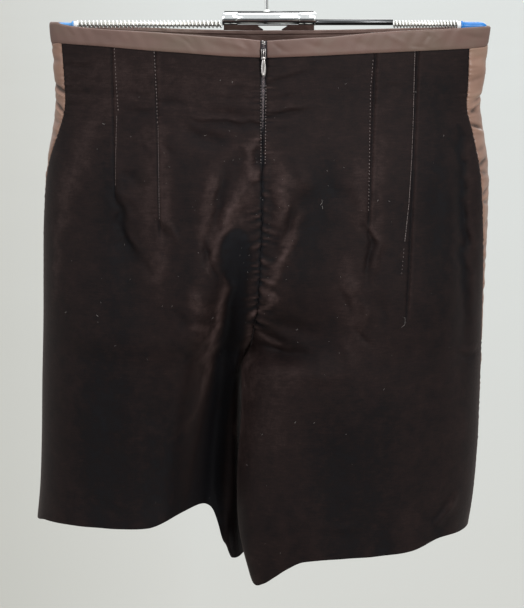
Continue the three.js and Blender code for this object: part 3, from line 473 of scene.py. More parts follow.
def line_field(lines, x, z):
    """The sum over all lines of amount * exp(-(distance / half)^2); a line is (X, Z, half, amount) points."""
    total = np.zeros_like(x)
    for line in lines:
        line = np.array(line, float)
        widest = line[:, 2].max() * 3
        near = (x > line[:, 0].min() - widest) & (x < line[:, 0].max() + widest)
        near &= (z > line[:, 1].min() - widest) & (z < line[:, 1].max() + widest)
        if not near.any():
            continue
        nx, nz = x[near], z[near]
        nearest = np.full(nx.shape, np.inf)
        half, amount = np.ones(nx.shape), np.zeros(nx.shape)
        for a, b in zip(line[:-1], line[1:]):
            dx, dz = b[0] - a[0], b[1] - a[1]
            t = np.clip(((nx - a[0]) * dx + (nz - a[1]) * dz) / (dx * dx + dz * dz), 0, 1)
            gap = np.hypot(nx - a[0] - t * dx, nz - a[1] - t * dz)
            closer = gap < nearest
            nearest = np.where(closer, gap, nearest)
            half = np.where(closer, mix(a[2], b[2], t), half)
            amount = np.where(closer, mix(a[3], b[3], t), amount)
        total[near] += amount * bell(nearest, half)
    return total


def back_y(z):
    """About how far back the garment's back stands at a height."""
    heights = (-580, -430, -385, -320, -274, -228, -193, -151, -121, -105)
    depths = (-84, -88, -94, -97, -90, -82, -70, -54, -47, -45)
    return np.interp(z, heights, depths)


def pixel_x(x, y, z):
    """The picture's column in which a point shows."""
    depth = (y - CAMERA_PLACE[1]) * math.cos(TILT) - (z - CAMERA_PLACE[2]) * math.sin(TILT)
    return OPTICAL_CENTRE[0] + FOCAL_PIXELS * (x - CAMERA_PLACE[0]) / depth


def on_back(px, py):
    """(X, Z) of the garment's back at a pixel, in a few steps from a first guess at its Y."""
    y = -70.0
    for _ in range(4):
        x, z = seen(px, py, y)
        y = float(back_y(z))
    return x, z


def from_picture(groups):
    """Lines of (pixel X, pixel Y, ...) as lines of (X, Z, ...) on the back."""
    return [[(*on_back(px, py), half, amount) for px, py, half, amount in line]
            for lines in groups.values() for line in lines]


FINE = {"back": from_picture(FINE_FOLDS), "front": FRONT_FINE_FOLDS}
FOLDS = {"back": BACK_FOLDS, "front": FRONT_FOLDS}
# the pile's lay together with painted highlights and painted shade, for the back and the front
NAPS_AND_PAINTED_LIGHT = {"back": from_picture(NAP_AND_PAINTED_LIGHT), "front": FRONT_NAP_AND_PAINTED_LIGHT}


# the painted shade of the hollow fades out over these
HOLLOW_SIDES, HOLLOW_TOP = 9, 3 # how softly the hollow's sides and its top fade, in millimetres
HOLLOW_START = 0.3


def hollow_shade(x, z):
    """The painted shade: 1 in the dark hollow left of the centre seam, and 0 outside it."""
    left, right = (np.array([on_back(row[k], row[0]) for row in PAINTED_HOLLOW_SHADE])[::-1] for k in (1, 2))
    from_left = x - np.interp(z, left[:, 1], left[:, 0])
    from_right = np.interp(z, right[:, 1], right[:, 0]) - x
    from_top = left[-1, 1] - z
    across = smooth(np.minimum(from_left, from_right) / HOLLOW_SIDES + HOLLOW_START)
    return across * smooth(from_top / HOLLOW_TOP + HOLLOW_START)


def wobble(t, wavelength, seed):
    """An uneven wave between about -1 and 1 along t."""
    rng = np.random.default_rng(seed)
    wave = np.zeros_like(t, dtype=float)
    for share in (0.55, 0.8, 1.0, 1.45):
        phase = rng.uniform(0, 2 * math.pi)
        wave += np.sin(2 * math.pi * t / (wavelength * share * rng.uniform(0.93, 1.07)) + phase)
    return wave / 2.4


def crumpled(x, z):
    """Where to read a table of fine folds, so that none of them runs evenly."""
    dx = 1.8 * wobble(z + 0.4 * x, 38, 91) + 0.5 * wobble(z - 0.8 * x, 15, 92)
    return x + dx, z + 1.0 * wobble(x + 0.5 * z, 34, 93)


# ---------- the surface of the cloth ----------


def half_rings(side, half, levels):
    """The points of half rings, (level, step, XYZ), and their running lengths, (level, step)."""
    s = {name: column(values, levels) for name, values in side["rows"].items()}
    depth, full = column(LEVELS[half], levels), column(LEVELS["round"], levels)
    turn = np.clip(column(LEVELS["turn"], levels), 0, 1)
    towards = -1 if half == "back" else 1
    width = np.abs(s["side_x"] - s["seam_x"])
    zero = np.zeros_like(depth)
    start = np.stack([s["side_x"], zero, s["side_z"]], -1)
    end_y = towards * depth * (1 - turn) + s["seam_y"] * turn
    end = np.stack([s["seam_x"], end_y, s["seam_z"]], -1)
    start_pull = np.stack([zero, towards * depth * full, zero], -1)
    torso_pull = np.stack([side["sign"] * TORSO_FLATNESS * width, zero, zero], -1)
    leg_pull = np.stack([-towards * s["lean"], towards * depth * LEG_FULLNESS, zero], -1)
    end_pull = mix(torso_pull, leg_pull, turn[:, None])
    t = np.linspace(0, 1, RING_STEPS + 1)[None, :, None]
    a, b, c, d = (p[:, None, :] for p in (start, start + start_pull, end + end_pull, end))
    points = a * (1 - t) ** 3 + 3 * b * t * (1 - t) ** 2 + 3 * c * t * t * (1 - t) + d * t ** 3
    steps = np.linalg.norm(np.diff(points, axis=1), axis=2)
    return points, np.concatenate([np.zeros((len(levels), 1)), np.cumsum(steps, 1)], 1)


class Rings:
    """The whole rings of one side at some levels. A place on a ring, along, is in millimetres from the
    outermost line, negative on the back."""

    def __init__(self, side, levels):
        self.side, self.levels = side, np.asarray(levels, float)
        self.points, self.run = {}, {}
        for half in ("back", "front"):
            self.points[half], self.run[half] = half_rings(side, half, self.levels)

    def length(self, half):
        return self.run[half][:, -1]

    def at(self, along):
        out = np.zeros(along.shape + (3,))
        for r, row in enumerate(along):
            run = np.concatenate([-self.run["back"][r, ::-1], self.run["front"][r, 1:]])
            points = np.concatenate([self.points["back"][r, ::-1], self.points["front"][r, 1:]])
            for axis in range(3):
                out[r, :, axis] = np.interp(row, run, points[:, axis])
        return out


def hem_shift(rings, along):
    """How far points move so that the last rows follow the hem."""
    at_hem = Rings(rings.side, [HEM_LEVEL])
    share = smooth((rings.levels - HEM_FROM) / (HEM_LEVEL - HEM_FROM))[:, None]
    shift = np.zeros_like(along)
    for half in ("back", "front"):
        scale = at_hem.length(half)[0] / rings.length(half)[:, None]
        there = at_hem.at((along * scale).reshape(1, -1))[0].reshape(along.shape + (3,))
        target = hem_z(HEM[f"{rings.side['name']} {half}"], there[..., 0])
        on_half = along < 0 if half == "back" else along >= 0
        shift = np.where(on_half, target - there[..., 2], shift)
    return share * shift


def dart_x(dart, z):
    """A dart's X at a height: one line down to its point, and one on from there to the hem."""
    top_x, end_x, end_z, hem_x = dart
    above = mix(top_x, end_x, (DART_TOP_Z - z) / (DART_TOP_Z - end_z))
    below = mix(end_x, hem_x, np.clip((end_z - z) / (end_z - DART_HEM_Z), 0, 1))
    return np.where(z > end_z, above, below)


def edge_moves(side):
    """How far the back waistband's top and lower edge move in Z at each X, to lie as in the picture."""
    rings = Rings(side, [0, BAND_LEVEL])
    moves = []
    for points, edge in zip(rings.points["back"], (BAND_TOP, BAND_FOOT)):
        x, y, z = points[::-side["sign"]].T
        px, py = np.array(edge, float).T
        columns = pixel_x(x, y, z)
        moves.append((x, seen(columns, np.interp(columns, px, py), y)[1] - z))
    return moves


def band_shift(rings, along, x):
    """The shift in Z of the waistband's rows, which the velvet under it takes up."""
    top, foot = (np.interp(x, *move) for move in edge_moves(rings.side))
    share = np.clip(rings.levels, 0, BAND_LEVEL)[:, None]
    fade = smooth(1 - (rings.levels - BAND_LEVEL) / BAND_SHIFT_FADE)[:, None]
    return mix(top, foot, share) * fade * np.where(along < 0, smooth(-along / BAND_SHIFT_FROM), 0)


def crotch_closing(rings, ends, along):
    """How far the two legs' walls lean together in X at the crotch, so that no light shows between."""
    near = bell(rings.levels - CROTCH_LEVEL, CROTCH_HEIGHT)[:, None]
    return -rings.side["sign"] * CROTCH_LEAN * near * np.exp(-(ends - np.abs(along)) / CROTCH_REACH)


def surface(rings, along, darts=()):
    """The cloth's outer face at places on rings, (level, place, XYZ)."""
    p = rings.at(along)
    p[..., 2] += band_shift(rings, along, p[..., 0]) + hem_shift(rings, along)
    x, z = p[..., 0].copy(), p[..., 2].copy()
    on_back_half = along < 0
    back, front = (line_field(FOLDS[half], x, z) + line_field(FINE[half], *crumpled(x, z)) for half in FOLDS)
    folds = np.where(on_back_half, back, front)
    turn = np.clip(column(LEVELS["turn"], rings.levels), 0, 1)[:, None]
    ends = np.where(on_back_half, rings.length("back")[:, None], rings.length("front")[:, None])
    p[..., 0] += crotch_closing(rings, ends, along)
    room = smooth((rings.levels - BAND_LEVEL) / BAND_HOLD)[:, None]
    room = room * mix(1, smooth((ends - np.abs(along)) / FOLD_FADE), turn)
    creases = np.zeros_like(x)
    for dart in darts:
        strength = smooth((z - dart[2]) / DART_FADE + 0.5)
        creases += DART_CREASE * strength * bell(x - dart_x(dart, z), DART_SHARP)
    p[..., 1] += np.where(on_back_half, 1, -1) * (room * folds + creases)
    return p


def normals(p, sign):
    """Outward unit normals of a grid whose rows go down and whose places go along."""
    down, across = np.gradient(p, axis=0), np.gradient(p, axis=1)
    n = np.cross(down, across) * sign
    return n / np.maximum(np.linalg.norm(n, axis=2, keepdims=True), TINY)


# ---------- meshes ----------


def mesh_piece(name, verts, faces, materials, body="garment", face_slots=None, point_data=None):
    """A mesh object from points in millimetres, riding on a body. A face has four corners, and the last
    one of a triangle is -1."""
    mesh = bpy.data.meshes.new(name)
    verts, faces = np.asarray(verts, float) * MM, np.asarray(faces, int)
    corners = (faces >= 0).sum(1)
    loops = faces[faces >= 0]
    mesh.vertices.add(len(verts))
    mesh.vertices.foreach_set("co", verts.ravel())
    mesh.loops.add(len(loops))
    mesh.loops.foreach_set("vertex_index", loops)
    mesh.polygons.add(len(faces))
    mesh.polygons.foreach_set("loop_start", np.cumsum(corners) - corners)
    for material in materials:
        mesh.materials.append(material)
    if face_slots is not None:
        mesh.polygons.foreach_set("material_index", np.asarray(face_slots, int))
    mesh.polygons.foreach_set("use_smooth", np.full(len(faces), True))
    for key, values in (point_data or {}).items():
        attribute = mesh.attributes.new(key, "FLOAT", "POINT")
        attribute.data.foreach_set("value", np.asarray(values, np.float32))
    mesh.update(calc_edges=True)
    mesh.validate()
    piece = bpy.data.objects.new(name, mesh)
    bpy.context.scene.collection.objects.link(piece)
    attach(piece, body)
    return piece


def grid_faces(rows, cols, flip=False, closed=False):
    """Quads between a grid's points. A closed grid's last column joins its first."""
    r = np.arange(rows - 1)[:, None]
    c = np.arange(cols if closed else cols - 1)[None, :]
    after = (c + 1) % cols
    corners = [r * cols + c, (r + 1) * cols + c, (r + 1) * cols + after, r * cols + after]
    quads = np.stack(corners, -1).reshape(-1, 4)
    return quads[:, ::-1] if flip else quads


RIM_STEPS = 3
RIM_BULGE = 0.2


def border(rows, cols):
    """The rows and the columns of a grid's border points, in one loop."""
    points = [(0, c) for c in range(cols)] + [(r, cols - 1) for r in range(1, rows)]
    points += [(rows - 1, c) for c in range(cols - 2, -1, -1)] + [(r, 0) for r in range(rows - 2, 0, -1)]
    return np.array(points).T


def rim_loops(outer, inner, r, c):
    """Loops of points that go round the rim between two grids."""
    rows, cols = outer.shape[:2]
    inward = outer[np.clip(r, 1, rows - 2), np.clip(c, 1, cols - 2)]
    middle, spoke = (outer[r, c] + inner[r, c]) / 2, (outer[r, c] - inner[r, c]) / 2
    away = outer[r, c] - inward
    away -= spoke * (np.sum(away * spoke, 1) / np.maximum(np.sum(spoke * spoke, 1), TINY))[:, None]
    away *= (np.linalg.norm(spoke, axis=1) / np.maximum(np.linalg.norm(away, axis=1), TINY))[:, None]
    angles = [math.pi * k / (RIM_STEPS + 1) for k in range(1, RIM_STEPS + 1)]
    return [middle + spoke * math.cos(a) + away * RIM_BULGE * math.sin(a) for a in angles]


def shell(name, outer, inner, materials, flip, nap_and_painted_light=None):
    """A closed wall between two grids of points, with a rounded rim all round. The nap attribute, with its
    painted highlights and painted shade, is given for the outer grid's points, and is 0 on the inner one's."""
    rows, cols = outer.shape[:2]
    count = rows * cols
    r, c = border(rows, cols)
    edge, ring = r * cols + c, len(r)
    verts = np.concatenate([outer.reshape(-1, 3), inner.reshape(-1, 3), *rim_loops(outer, inner, r, c)])
    faces = [grid_faces(rows, cols, flip), grid_faces(rows, cols, not flip) + count]
    slots = [np.zeros(len(faces[0]), int), np.full(len(faces[1]), len(materials) - 1)]
    strips = [edge, *[2 * count + k * ring + np.arange(ring) for k in range(RIM_STEPS)], edge + count]
    for a, b in zip(strips[:-1], strips[1:]):
        quads = np.stack([a, np.roll(a, -1), np.roll(b, -1), b], -1)
        faces.append(quads[:, ::-1] if flip else quads)
        slots.append(np.zeros(ring, int))
    data = None
    if nap_and_painted_light is not None:
        flat = nap_and_painted_light.reshape(-1)
        # the attribute carries the pile's lay and the painted highlights and painted shade
        data = {"nap_and_painted_light": np.concatenate([flat, np.zeros(count), *[flat[edge]] * RIM_STEPS])}
    return mesh_piece(name, verts, np.concatenate(faces), materials,
                      face_slots=np.concatenate(slots), point_data=data)


def tube(points, radius, sides=12):
    """Verts and faces of a round tube along points; radius is one number or one for each point."""
    points = np.asarray(points, float)
    radius = np.broadcast_to(np.asarray(radius, float), (len(points),))
    tangent = np.gradient(points, axis=0)
    tangent /= np.linalg.norm(tangent, axis=1)[:, None]
    up = np.array([0.0, 1.0, 0.0]) if abs(tangent[0, 1]) < 0.9 else np.array([1.0, 0.0, 0.0])
    frames = []
    for t in tangent:
        up = up - t * np.dot(up, t)
        up /= np.linalg.norm(up)
        frames.append((up, np.cross(t, up)))
    u, v = (np.array([f[k] for f in frames]) for k in range(2))
    angle = np.linspace(0, 2 * math.pi, sides, endpoint=False)
    ring = u[:, None] * np.cos(angle)[None, :, None] + v[:, None] * np.sin(angle)[None, :, None]
    verts = (points[:, None] + ring * radius[:, None, None]).reshape(-1, 3)
    return capped(verts, len(points), sides, points[[0, -1]])


def capped(verts, rings, sides, ends):
    """A closed solid from rings of points, with a fan round a middle point at each end."""
    k = np.arange(sides)
    after, none, last = (k + 1) % sides, np.full(sides, -1), (rings - 1) * sides
    first_cap = np.stack([k, after, np.full(sides, len(verts)), none], -1)
    last_cap = np.stack([last + after, last + k, np.full(sides, len(verts) + 1), none], -1)
    faces = grid_faces(rings, sides, closed=True)
    return np.concatenate([verts, ends]), np.concatenate([faces, first_cap, last_cap])


def joined(parts):
    """Several (verts, faces) as one."""
    verts, faces, at = [], [], 0
    for v, f in parts:
        verts.append(np.asarray(v, float))
        faces.append(np.where(f >= 0, f + at, -1))
        at += len(v)
    return np.concatenate(verts), np.concatenate(faces)


def face_outwards(piece):
    """Turns a closed mesh's faces outwards."""
    bm = bmesh.new()
    bm.from_mesh(piece.data)
    bmesh.ops.recalc_face_normals(bm, faces=bm.faces)
    bm.to_mesh(piece.data)
    bm.free()
    return piece


def solid_piece(name, parts, material, body="garment"):
    """A mesh object from closed parts, each as (verts, faces)."""
    verts, faces = joined(parts)
    return face_outwards(mesh_piece(name, verts, faces, [material], body))


def tie(piece, node):
    """Hides the CAD node that a piece replaces, if it does."""
    if node:
        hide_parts(node)
    return piece


def rounded_block(lo, hi, radius, segments=3):
    """Verts and faces of a box with rounded edges, as a rounded rectangle in X and Z lofted along Y."""
    (x0, y0, z0), (x1, y1, z1) = lo, hi
    loops = []
    for k in range(segments + 1):
        a = math.pi / 2 * k / segments
        loops.append((y0 + radius * (1 - math.sin(a)), radius * (1 - math.cos(a))))
    loops += [(y1 - (y - y0), inset) for y, inset in reversed(loops)]
    return lofted(rounded_outline(x0, z0, x1, z1, radius), loops)


def rounded_outline(x0, z0, x1, z1, radius, segments=4):
    """A rectangle's outline in X and Z, with round corners."""
    corners = ((x1 - radius, z1 - radius, 0), (x0 + radius, z1 - radius, 1),
               (x0 + radius, z0 + radius, 2), (x1 - radius, z0 + radius, 3))
    points = []
    for cx, cz, quarter in corners:
        for k in range(segments + 1):
            a = math.pi / 2 * (quarter + k / segments)
            points.append((cx + radius * math.cos(a), cz + radius * math.sin(a)))
    return np.array(points)


def lofted(outline, loops):
    """A closed solid: an outline in X and Z at each (Y, inset) of loops, with flat ends."""
    centre = outline.mean(0)
    before, after = np.roll(outline, 1, 0), np.roll(outline, -1, 0)
    tangent = after - before
    tangent /= np.maximum(np.linalg.norm(tangent, axis=1), TINY)[:, None]
    inward = np.stack([-tangent[:, 1], tangent[:, 0]], 1)
    n = len(outline)
    verts = []
    for y, inset in loops:
        p = outline + inward * inset
        verts.append(np.stack([p[:, 0], np.full(n, y), p[:, 1]], 1))
    ends = np.array([[centre[0], loops[0][0], centre[1]], [centre[0], loops[-1][0], centre[1]]])
    return capped(np.concatenate(verts), len(loops), n, ends)


# ---------- materials ----------


class Nodes:
    """A short way to write a material's nodes."""

    def __init__(self, name):
        self.material = bpy.data.materials.new(name)
        self.material.use_nodes = True
        self.tree = self.material.node_tree
        self.shader = self.tree.nodes["Principled BSDF"]
        self.place = self.tree.nodes.new("ShaderNodeTexCoord").outputs["Object"]

    def add(self, kind, inputs=None, **settings):
        node = self.tree.nodes.new(kind)
        for key, value in settings.items():
            setattr(node, key, value)
        for key, value in (inputs or {}).items():
            if isinstance(value, bpy.types.NodeSocket):
                self.tree.links.new(value, node.inputs[key])
            else:
                node.inputs[key].default_value = value
        return node

    def set(self, **values):
        for key, value in values.items():
            self.shader.inputs[key.replace("_", " ")].default_value = value

    def link(self, key, socket):
        self.tree.links.new(socket, self.shader.inputs[key])

    def stretched(self, x, y, z):
        return self.add("ShaderNodeMapping", {"Vector": self.place, "Scale": (x, y, z)}).outputs["Vector"]

    def noise(self, scale, detail=3.0, roughness=0.55, place=None):
        inputs = {"Vector": place or self.place, "Scale": scale, "Detail": detail, "Roughness": roughness}
        return self.add("ShaderNodeTexNoise", inputs).outputs["Fac"]

    def attribute(self, name):
        return self.add("ShaderNodeAttribute", attribute_name=name).outputs["Fac"]

    def math(self, operation, a, b=0.0):
        return self.add("ShaderNodeMath", {0: a, 1: b}, operation=operation).outputs[0]

    def spread(self, value, amount):
        """amount * (value - 0.5), for a value round a half."""
        return self.math("MULTIPLY", self.math("SUBTRACT", value, 0.5), amount)

    def ramp(self, value, stops):
        node = self.add("ShaderNodeValToRGB", {"Fac": value})
        elements = node.color_ramp.elements
        while len(elements) < len(stops):
            elements.new(0.5)
        for element, (place, colour) in zip(elements, stops):
            element.position = place
            element.color = (*colour, 1)
        return node.outputs["Color"]

    def bump(self, height, strength, distance, after=None):
        inputs = {"Height": height, "Strength": strength, "Distance": distance * MM}
        if after is not None:
            inputs["Normal"] = after
        return self.add("ShaderNodeBump", inputs).outputs["Normal"]


def velvet_material():
    """Short dark pile. The nap attribute says how light it lies, with painted highlights and painted shade in
    it; noise crushes it a little.
    """
    m = Nodes("velvet")
    nap_and_painted_light = m.attribute("nap_and_painted_light")
    patches = m.spread(m.noise(26, 4), 0.22)
    crushed = m.spread(m.noise(95, 4, 0.65), 0.36)
    streaks = m.spread(m.noise(1, 3, 0.6, m.stretched(120, 120, 900)), 0.3)
    grain = m.spread(m.noise(1300, 2, 0.7), 0.4)
    uneven = m.math("ADD", m.spread(m.noise(150, 3, 0.6), 2.2), 1.0)
    value = m.math("ADD", m.math("MULTIPLY", m.math("MULTIPLY", nap_and_painted_light, uneven), 0.5), 0.38)
    for part in (patches, crushed, streaks, grain):
        value = m.math("ADD", value, part)
    # the ramp runs from the painted shade, a cool grey, over the darkest pile to the lightest pile and the
    # painted highlights
    colour = m.ramp(value, [
        (0.0, (0.0064, 0.0062, 0.0075)),
        (0.22, (0.0059, 0.0046, 0.0051)),
        (0.45, (0.0129, 0.0079, 0.0076)),
        (0.7, (0.0290, 0.0183, 0.0172)),
        (1.0, (0.0520, 0.0335, 0.0320)),
    ])
    m.link("Base Color", colour)
    pile = m.bump(m.noise(2200, 2, 0.7), 0.5, 0.25)
    m.link("Normal", m.bump(m.noise(1, 2, 0.6, m.stretched(120, 120, 1100)), 0.4, 0.3, pile))
    m.set(Roughness=0.62, Specular_IOR_Level=0.06, Sheen_Weight=0.07, Sheen_Roughness=0.3,
          Sheen_Tint=(0.8, 0.56, 0.52, 1))
    return m.material


def velvet_back_material():
    """The woven wrong side of the velvet."""
    m = Nodes("velvet_wrong_side")
    weave = m.noise(1, 2, 0.5, m.stretched(1400, 1400, 500))
    value = m.math("ADD", m.spread(weave, 0.6), m.noise(40, 3))
    m.link("Base Color", m.ramp(value, [(0.2, (0.010, 0.007, 0.008)), (0.8, (0.030, 0.021, 0.022))]))
    m.link("Normal", m.bump(weave, 0.3, 0.2))
    m.set(Roughness=0.8, Specular_IOR_Level=0.25, Sheen_Weight=0.15, Sheen_Roughness=0.5)
    return m.material


# the colour of the painted shade in the deepest creases
PAINTED_CREASE_SHADE_TONE = 0.3 # the tone of the deepest creases, as a share of the darkest tone
YARNS = {"along the band": (120, 120, 3600), "down the stripe": (3600, 3600, 120)}


def satin_material(name, yarns, roughness, tones):
    """Mauve-brown satin whose tone drifts between pink and taupe. Its nap attribute holds painted shade that
    darkens the creases.
    """
    m = Nodes(name)
    drift = m.noise(1, 3, 0.5, m.stretched(16, 16, 30))
    soft = m.spread(m.noise(60, 3, 0.5), 0.28)
    yarn = m.noise(1, 2, 0.6, m.stretched(*YARNS[yarns]))
    value = m.math("ADD", m.math("ADD", drift, soft), m.spread(yarn, 0.12))
    value = m.math("ADD", value, m.attribute("nap_and_painted_light"))
    # the ramp's first stop is the painted shade of the deepest creases
    painted_crease_shade = tuple(PAINTED_CREASE_SHADE_TONE * c for c in tones[0])
    m.link("Base Color", m.ramp(value, list(zip((0.0, 0.28, 0.5, 0.75), (painted_crease_shade, *tones)))))
    m.link("Roughness", m.math("ADD", m.spread(m.noise(90, 3), 0.12), roughness))
    m.link("Normal", m.bump(yarn, 0.12, 0.08))
    m.set(Specular_IOR_Level=0.3, Sheen_Weight=0.05, Sheen_Roughness=0.4, Anisotropic=0.35,
          Sheen_Tint=(0.9, 0.78, 0.7, 1))
    return m.material


def metal_material(name, colour, roughness, wear=0.1):
    """Metal whose roughness varies by its wear."""
    m = Nodes(name)
    rub = m.noise(400, 4, 0.6)
    m.link("Base Color", m.ramp(rub, [(0.3, tuple(c * 0.9 for c in colour)), (0.7, colour)]))
    m.link("Roughness", m.math("ADD", m.spread(m.noise(900, 3, 0.7), wear), roughness))
    m.set(Metallic=1.0)
    return m.material


def plastic_material(name, dark, light, roughness):
    """Moulded plastic or rubber between two close tones."""
    m = Nodes(name)
    m.link("Base Color", m.ramp(m.noise(150, 3), [(0.3, dark), (0.7, light)]))
    m.link("Roughness", m.math("ADD", m.spread(m.noise(700, 2), 0.1), roughness))
    m.link("Normal", m.bump(m.noise(1200, 2), 0.08, 0.05))
    return m.material


def thread_material(name, dark, light, scale=900):
    """Thread or fluff whose tone varies along it."""
    m = Nodes(name)
    m.link("Base Color", m.ramp(m.noise(scale, 2), [(0.35, dark), (0.65, light)]))
    m.link("Normal", m.bump(m.noise(3200, 1), 0.3, 0.05))
    m.set(Roughness=0.6, Sheen_Weight=0.3)
    return m.material


def tape_material():
    """Woven zip tape, with a herringbone of fine ribs."""
    m = Nodes("zip_tape")
    ribs = m.noise(1, 1, 0.5, m.stretched(1500, 1500, 4200))
    m.link("Base Color", m.ramp(ribs, [(0.3, (0.006, 0.004, 0.007)), (0.7, (0.022, 0.013, 0.019))]))
    m.link("Normal", m.bump(ribs, 0.4, 0.1))
    m.set(Roughness=0.75, Sheen_Weight=0.2)
    return m.material


VELVET = velvet_material()
VELVET_BACK = velvet_back_material()
STRIPE_TONES = ((0.180, 0.104, 0.078), (0.226, 0.134, 0.100), (0.206, 0.140, 0.104))
BAND_TONES = ((0.100, 0.057, 0.047), (0.120, 0.070, 0.058), (0.114, 0.078, 0.061))
SATIN = satin_material("satin", "down the stripe", 0.4, STRIPE_TONES)
BAND_SATIN = satin_material("satin_band", "along the band", 0.5, BAND_TONES)
CHROME = metal_material("chrome", (0.80, 0.81, 0.82), 0.07, 0.05)
# a dark steel; on the right arm's rod its darkness is a painted reflection of the dark velvet
DARK_STEEL_AND_PAINTED_REFLECTION = metal_material("dark_steel_and_painted_reflection", (0.085, 0.087, 0.09), 0.3)
SPRING = metal_material("spring_steel", (0.95, 0.95, 0.93), 0.46)
CORE_STEEL = metal_material("core_steel", (0.62, 0.60, 0.56), 0.5)
NICKEL = metal_material("zip_metal", (0.50, 0.47, 0.46), 0.24, 0.16)
ENAMEL = plastic_material("slider_enamel", (0.010, 0.007, 0.009), (0.020, 0.014, 0.017), 0.3)
BLUE = plastic_material("blue_rubber", (0.004, 0.125, 0.40), (0.007, 0.165, 0.50), 0.4)
PALE_BLUE = plastic_material("pale_blue_rubber", (0.045, 0.20, 0.47), (0.07, 0.25, 0.55), 0.34)
WHITE = plastic_material("white_collar", (0.62, 0.63, 0.64), (0.74, 0.75, 0.76), 0.35)
TAPE = tape_material()
COIL = thread_material("coil_teeth", (0.010, 0.007, 0.009), (0.19, 0.14, 0.145), 480)
STITCH = thread_material("stitches", (0.10, 0.075, 0.070), (0.25, 0.195, 0.185))
LINT = thread_material("lint", (0.10, 0.085, 0.08), (0.25, 0.225, 0.215))


# ---------- velvet panels ----------

PANEL_ROWS = {"back": 250, "front": 170}
PANEL_COUNTS = {"back": (44, 26, 94), "front": (46, 66)} # the columns between the side, the darts and the end
FLANK_STEPS = 4 # the columns on each side of a dart
HEM_TURN_UP = 0.9 # how far, as a share of a level, the hem is turned up inside
HEM_EXTRA = 1.1 # how much thicker it is there
DART_HOLD = 0.6
LEVEL_HEIGHT = 30 # about how high the first level under the waistband is


def seam_room(side, levels):
    """How far a back panel stops short of the centre line: under COVER_Z the velvet closes over the zip."""
    z = column(side["rows"]["seam_z"], levels)
    beside_slider = smooth((SLIDER_LEVEL - levels) / 0.3)
    room = mix(ZIP_SHOWS, ZIP_WIDTH / 2 + SEAM, beside_slider)
    return mix(SEAM / 2, room, smooth((z - COVER_Z) / ZIP_CLOSING))


def dart_places(rings, half, dart):
    """The place of a dart on each half ring, in millimetres from the outermost line."""
    side_fold = 2
    places = []
    for points, run in zip(rings.points[half], rings.run[half]):
        past = (dart_x(dart, points[:, 2]) - points[:, 0]) * rings.side["sign"]
        i = next(k for k in range(side_fold + 1, len(past)) if past[k] > 0)
        places.append(mix(run[i - 1], run[i], past[i - 1] / (past[i - 1] - past[i])))
    return np.array(places)


def panel_places(rings, half, darts):
    """Places of a panel's columns, ascending in along, and their distances to its two long edges."""
    flip = -1 if half == "back" else 1
    edge = flip * column(rings.side["rows"]["stripe"], rings.levels) + STRIPE_WIDTH / 2 + SEAM
    end = rings.length(half) - (seam_room(rings.side, rings.levels) if half == "back" else SEAM / 2)
    knots, steps = [edge], []
    counts = PANEL_COUNTS[half]
    for dart, count in zip(darts, counts):
        at = dart_places(rings, half, dart)
        knots += [at - DART_HALF, at, at + DART_HALF]
        steps += [count, FLANK_STEPS, FLANK_STEPS]
    knots.append(end)
    steps.append(counts[-1])
    places = [knots[0]]
    for a, b, count in zip(knots[:-1], knots[1:], steps):
        places += [mix(a, b, k / count) for k in range(1, count + 1)]
    places = np.stack(places, 1)
    from_edge, from_end = places - edge[:, None], end[:, None] - places
    if flip < 0:
        return -places[:, ::-1], from_edge[:, ::-1], from_end[:, ::-1]
    return places, from_edge, from_end


def gathers(z, distance, seed, reach, height, wavelength):
    """Small uneven puckers that a seam draws into the cloth beside it."""
    uneven = 0.55 + 0.45 * wobble(z, wavelength * 7, seed + 50)
    return height * uneven * wobble(z, wavelength, seed) * np.exp(-np.abs(distance) / reach)


PUCKERS_TOP, PUCKERS_FOOT, PUCKER_PITCH = -205, -376, 7.6 # the large puckers under the zip


def seam_puckers(z, from_end, half, seed):
    """The puckers beside the centre seam: small at the zip, and large and even under it at the back."""
    small = gathers(z, from_end, seed + 1, 6, 0.9, 4.6)
    if half == "front":
        return small
    strong = smooth((z - PUCKERS_FOOT) / 24) * smooth((PUCKERS_TOP - z) / 60)
    wave = np.sin(2 * math.pi * (z + 0.35 * from_end) / PUCKER_PITCH + 2.4 * wobble(z, 47, seed + 2))
    large = 1.6 * (0.7 + 0.6 * wobble(z, 26, seed + 3)) * wave * np.exp(-from_end / 7)
    return small * (1 - strong) + strong * large


class Panel:
    """A velvet panel's grid of points, and how far they lie from its two long edges."""

    def __init__(self, side, half):
        self.side, self.half = side, half
        self.darts = DARTS[f"{side['name']} {half}"]
        self.levels = np.linspace(BAND_LEVEL + UNDER_BAND, HEM_LEVEL, PANEL_ROWS[half] + 1)
        rings = Rings(side, self.levels)
        along, self.from_edge, self.from_end = panel_places(rings, half, self.darts)
        self.base = surface(rings, along, self.darts)
        self.x, self.z = self.base[..., 0], self.base[..., 2]
        self.torso = 1 - 0.9 * np.clip(column(LEVELS["turn"], self.levels), 0, 1)[:, None]
        self.seed = 11 if side is LEFT else 37

    def beside(self, dart):
        """How far right of a dart the points lie, and how firmly it holds the cloth at their height."""
        return self.x - dart_x(dart, self.z), smooth((self.z - dart[2]) / DART_FADE + DART_HOLD)


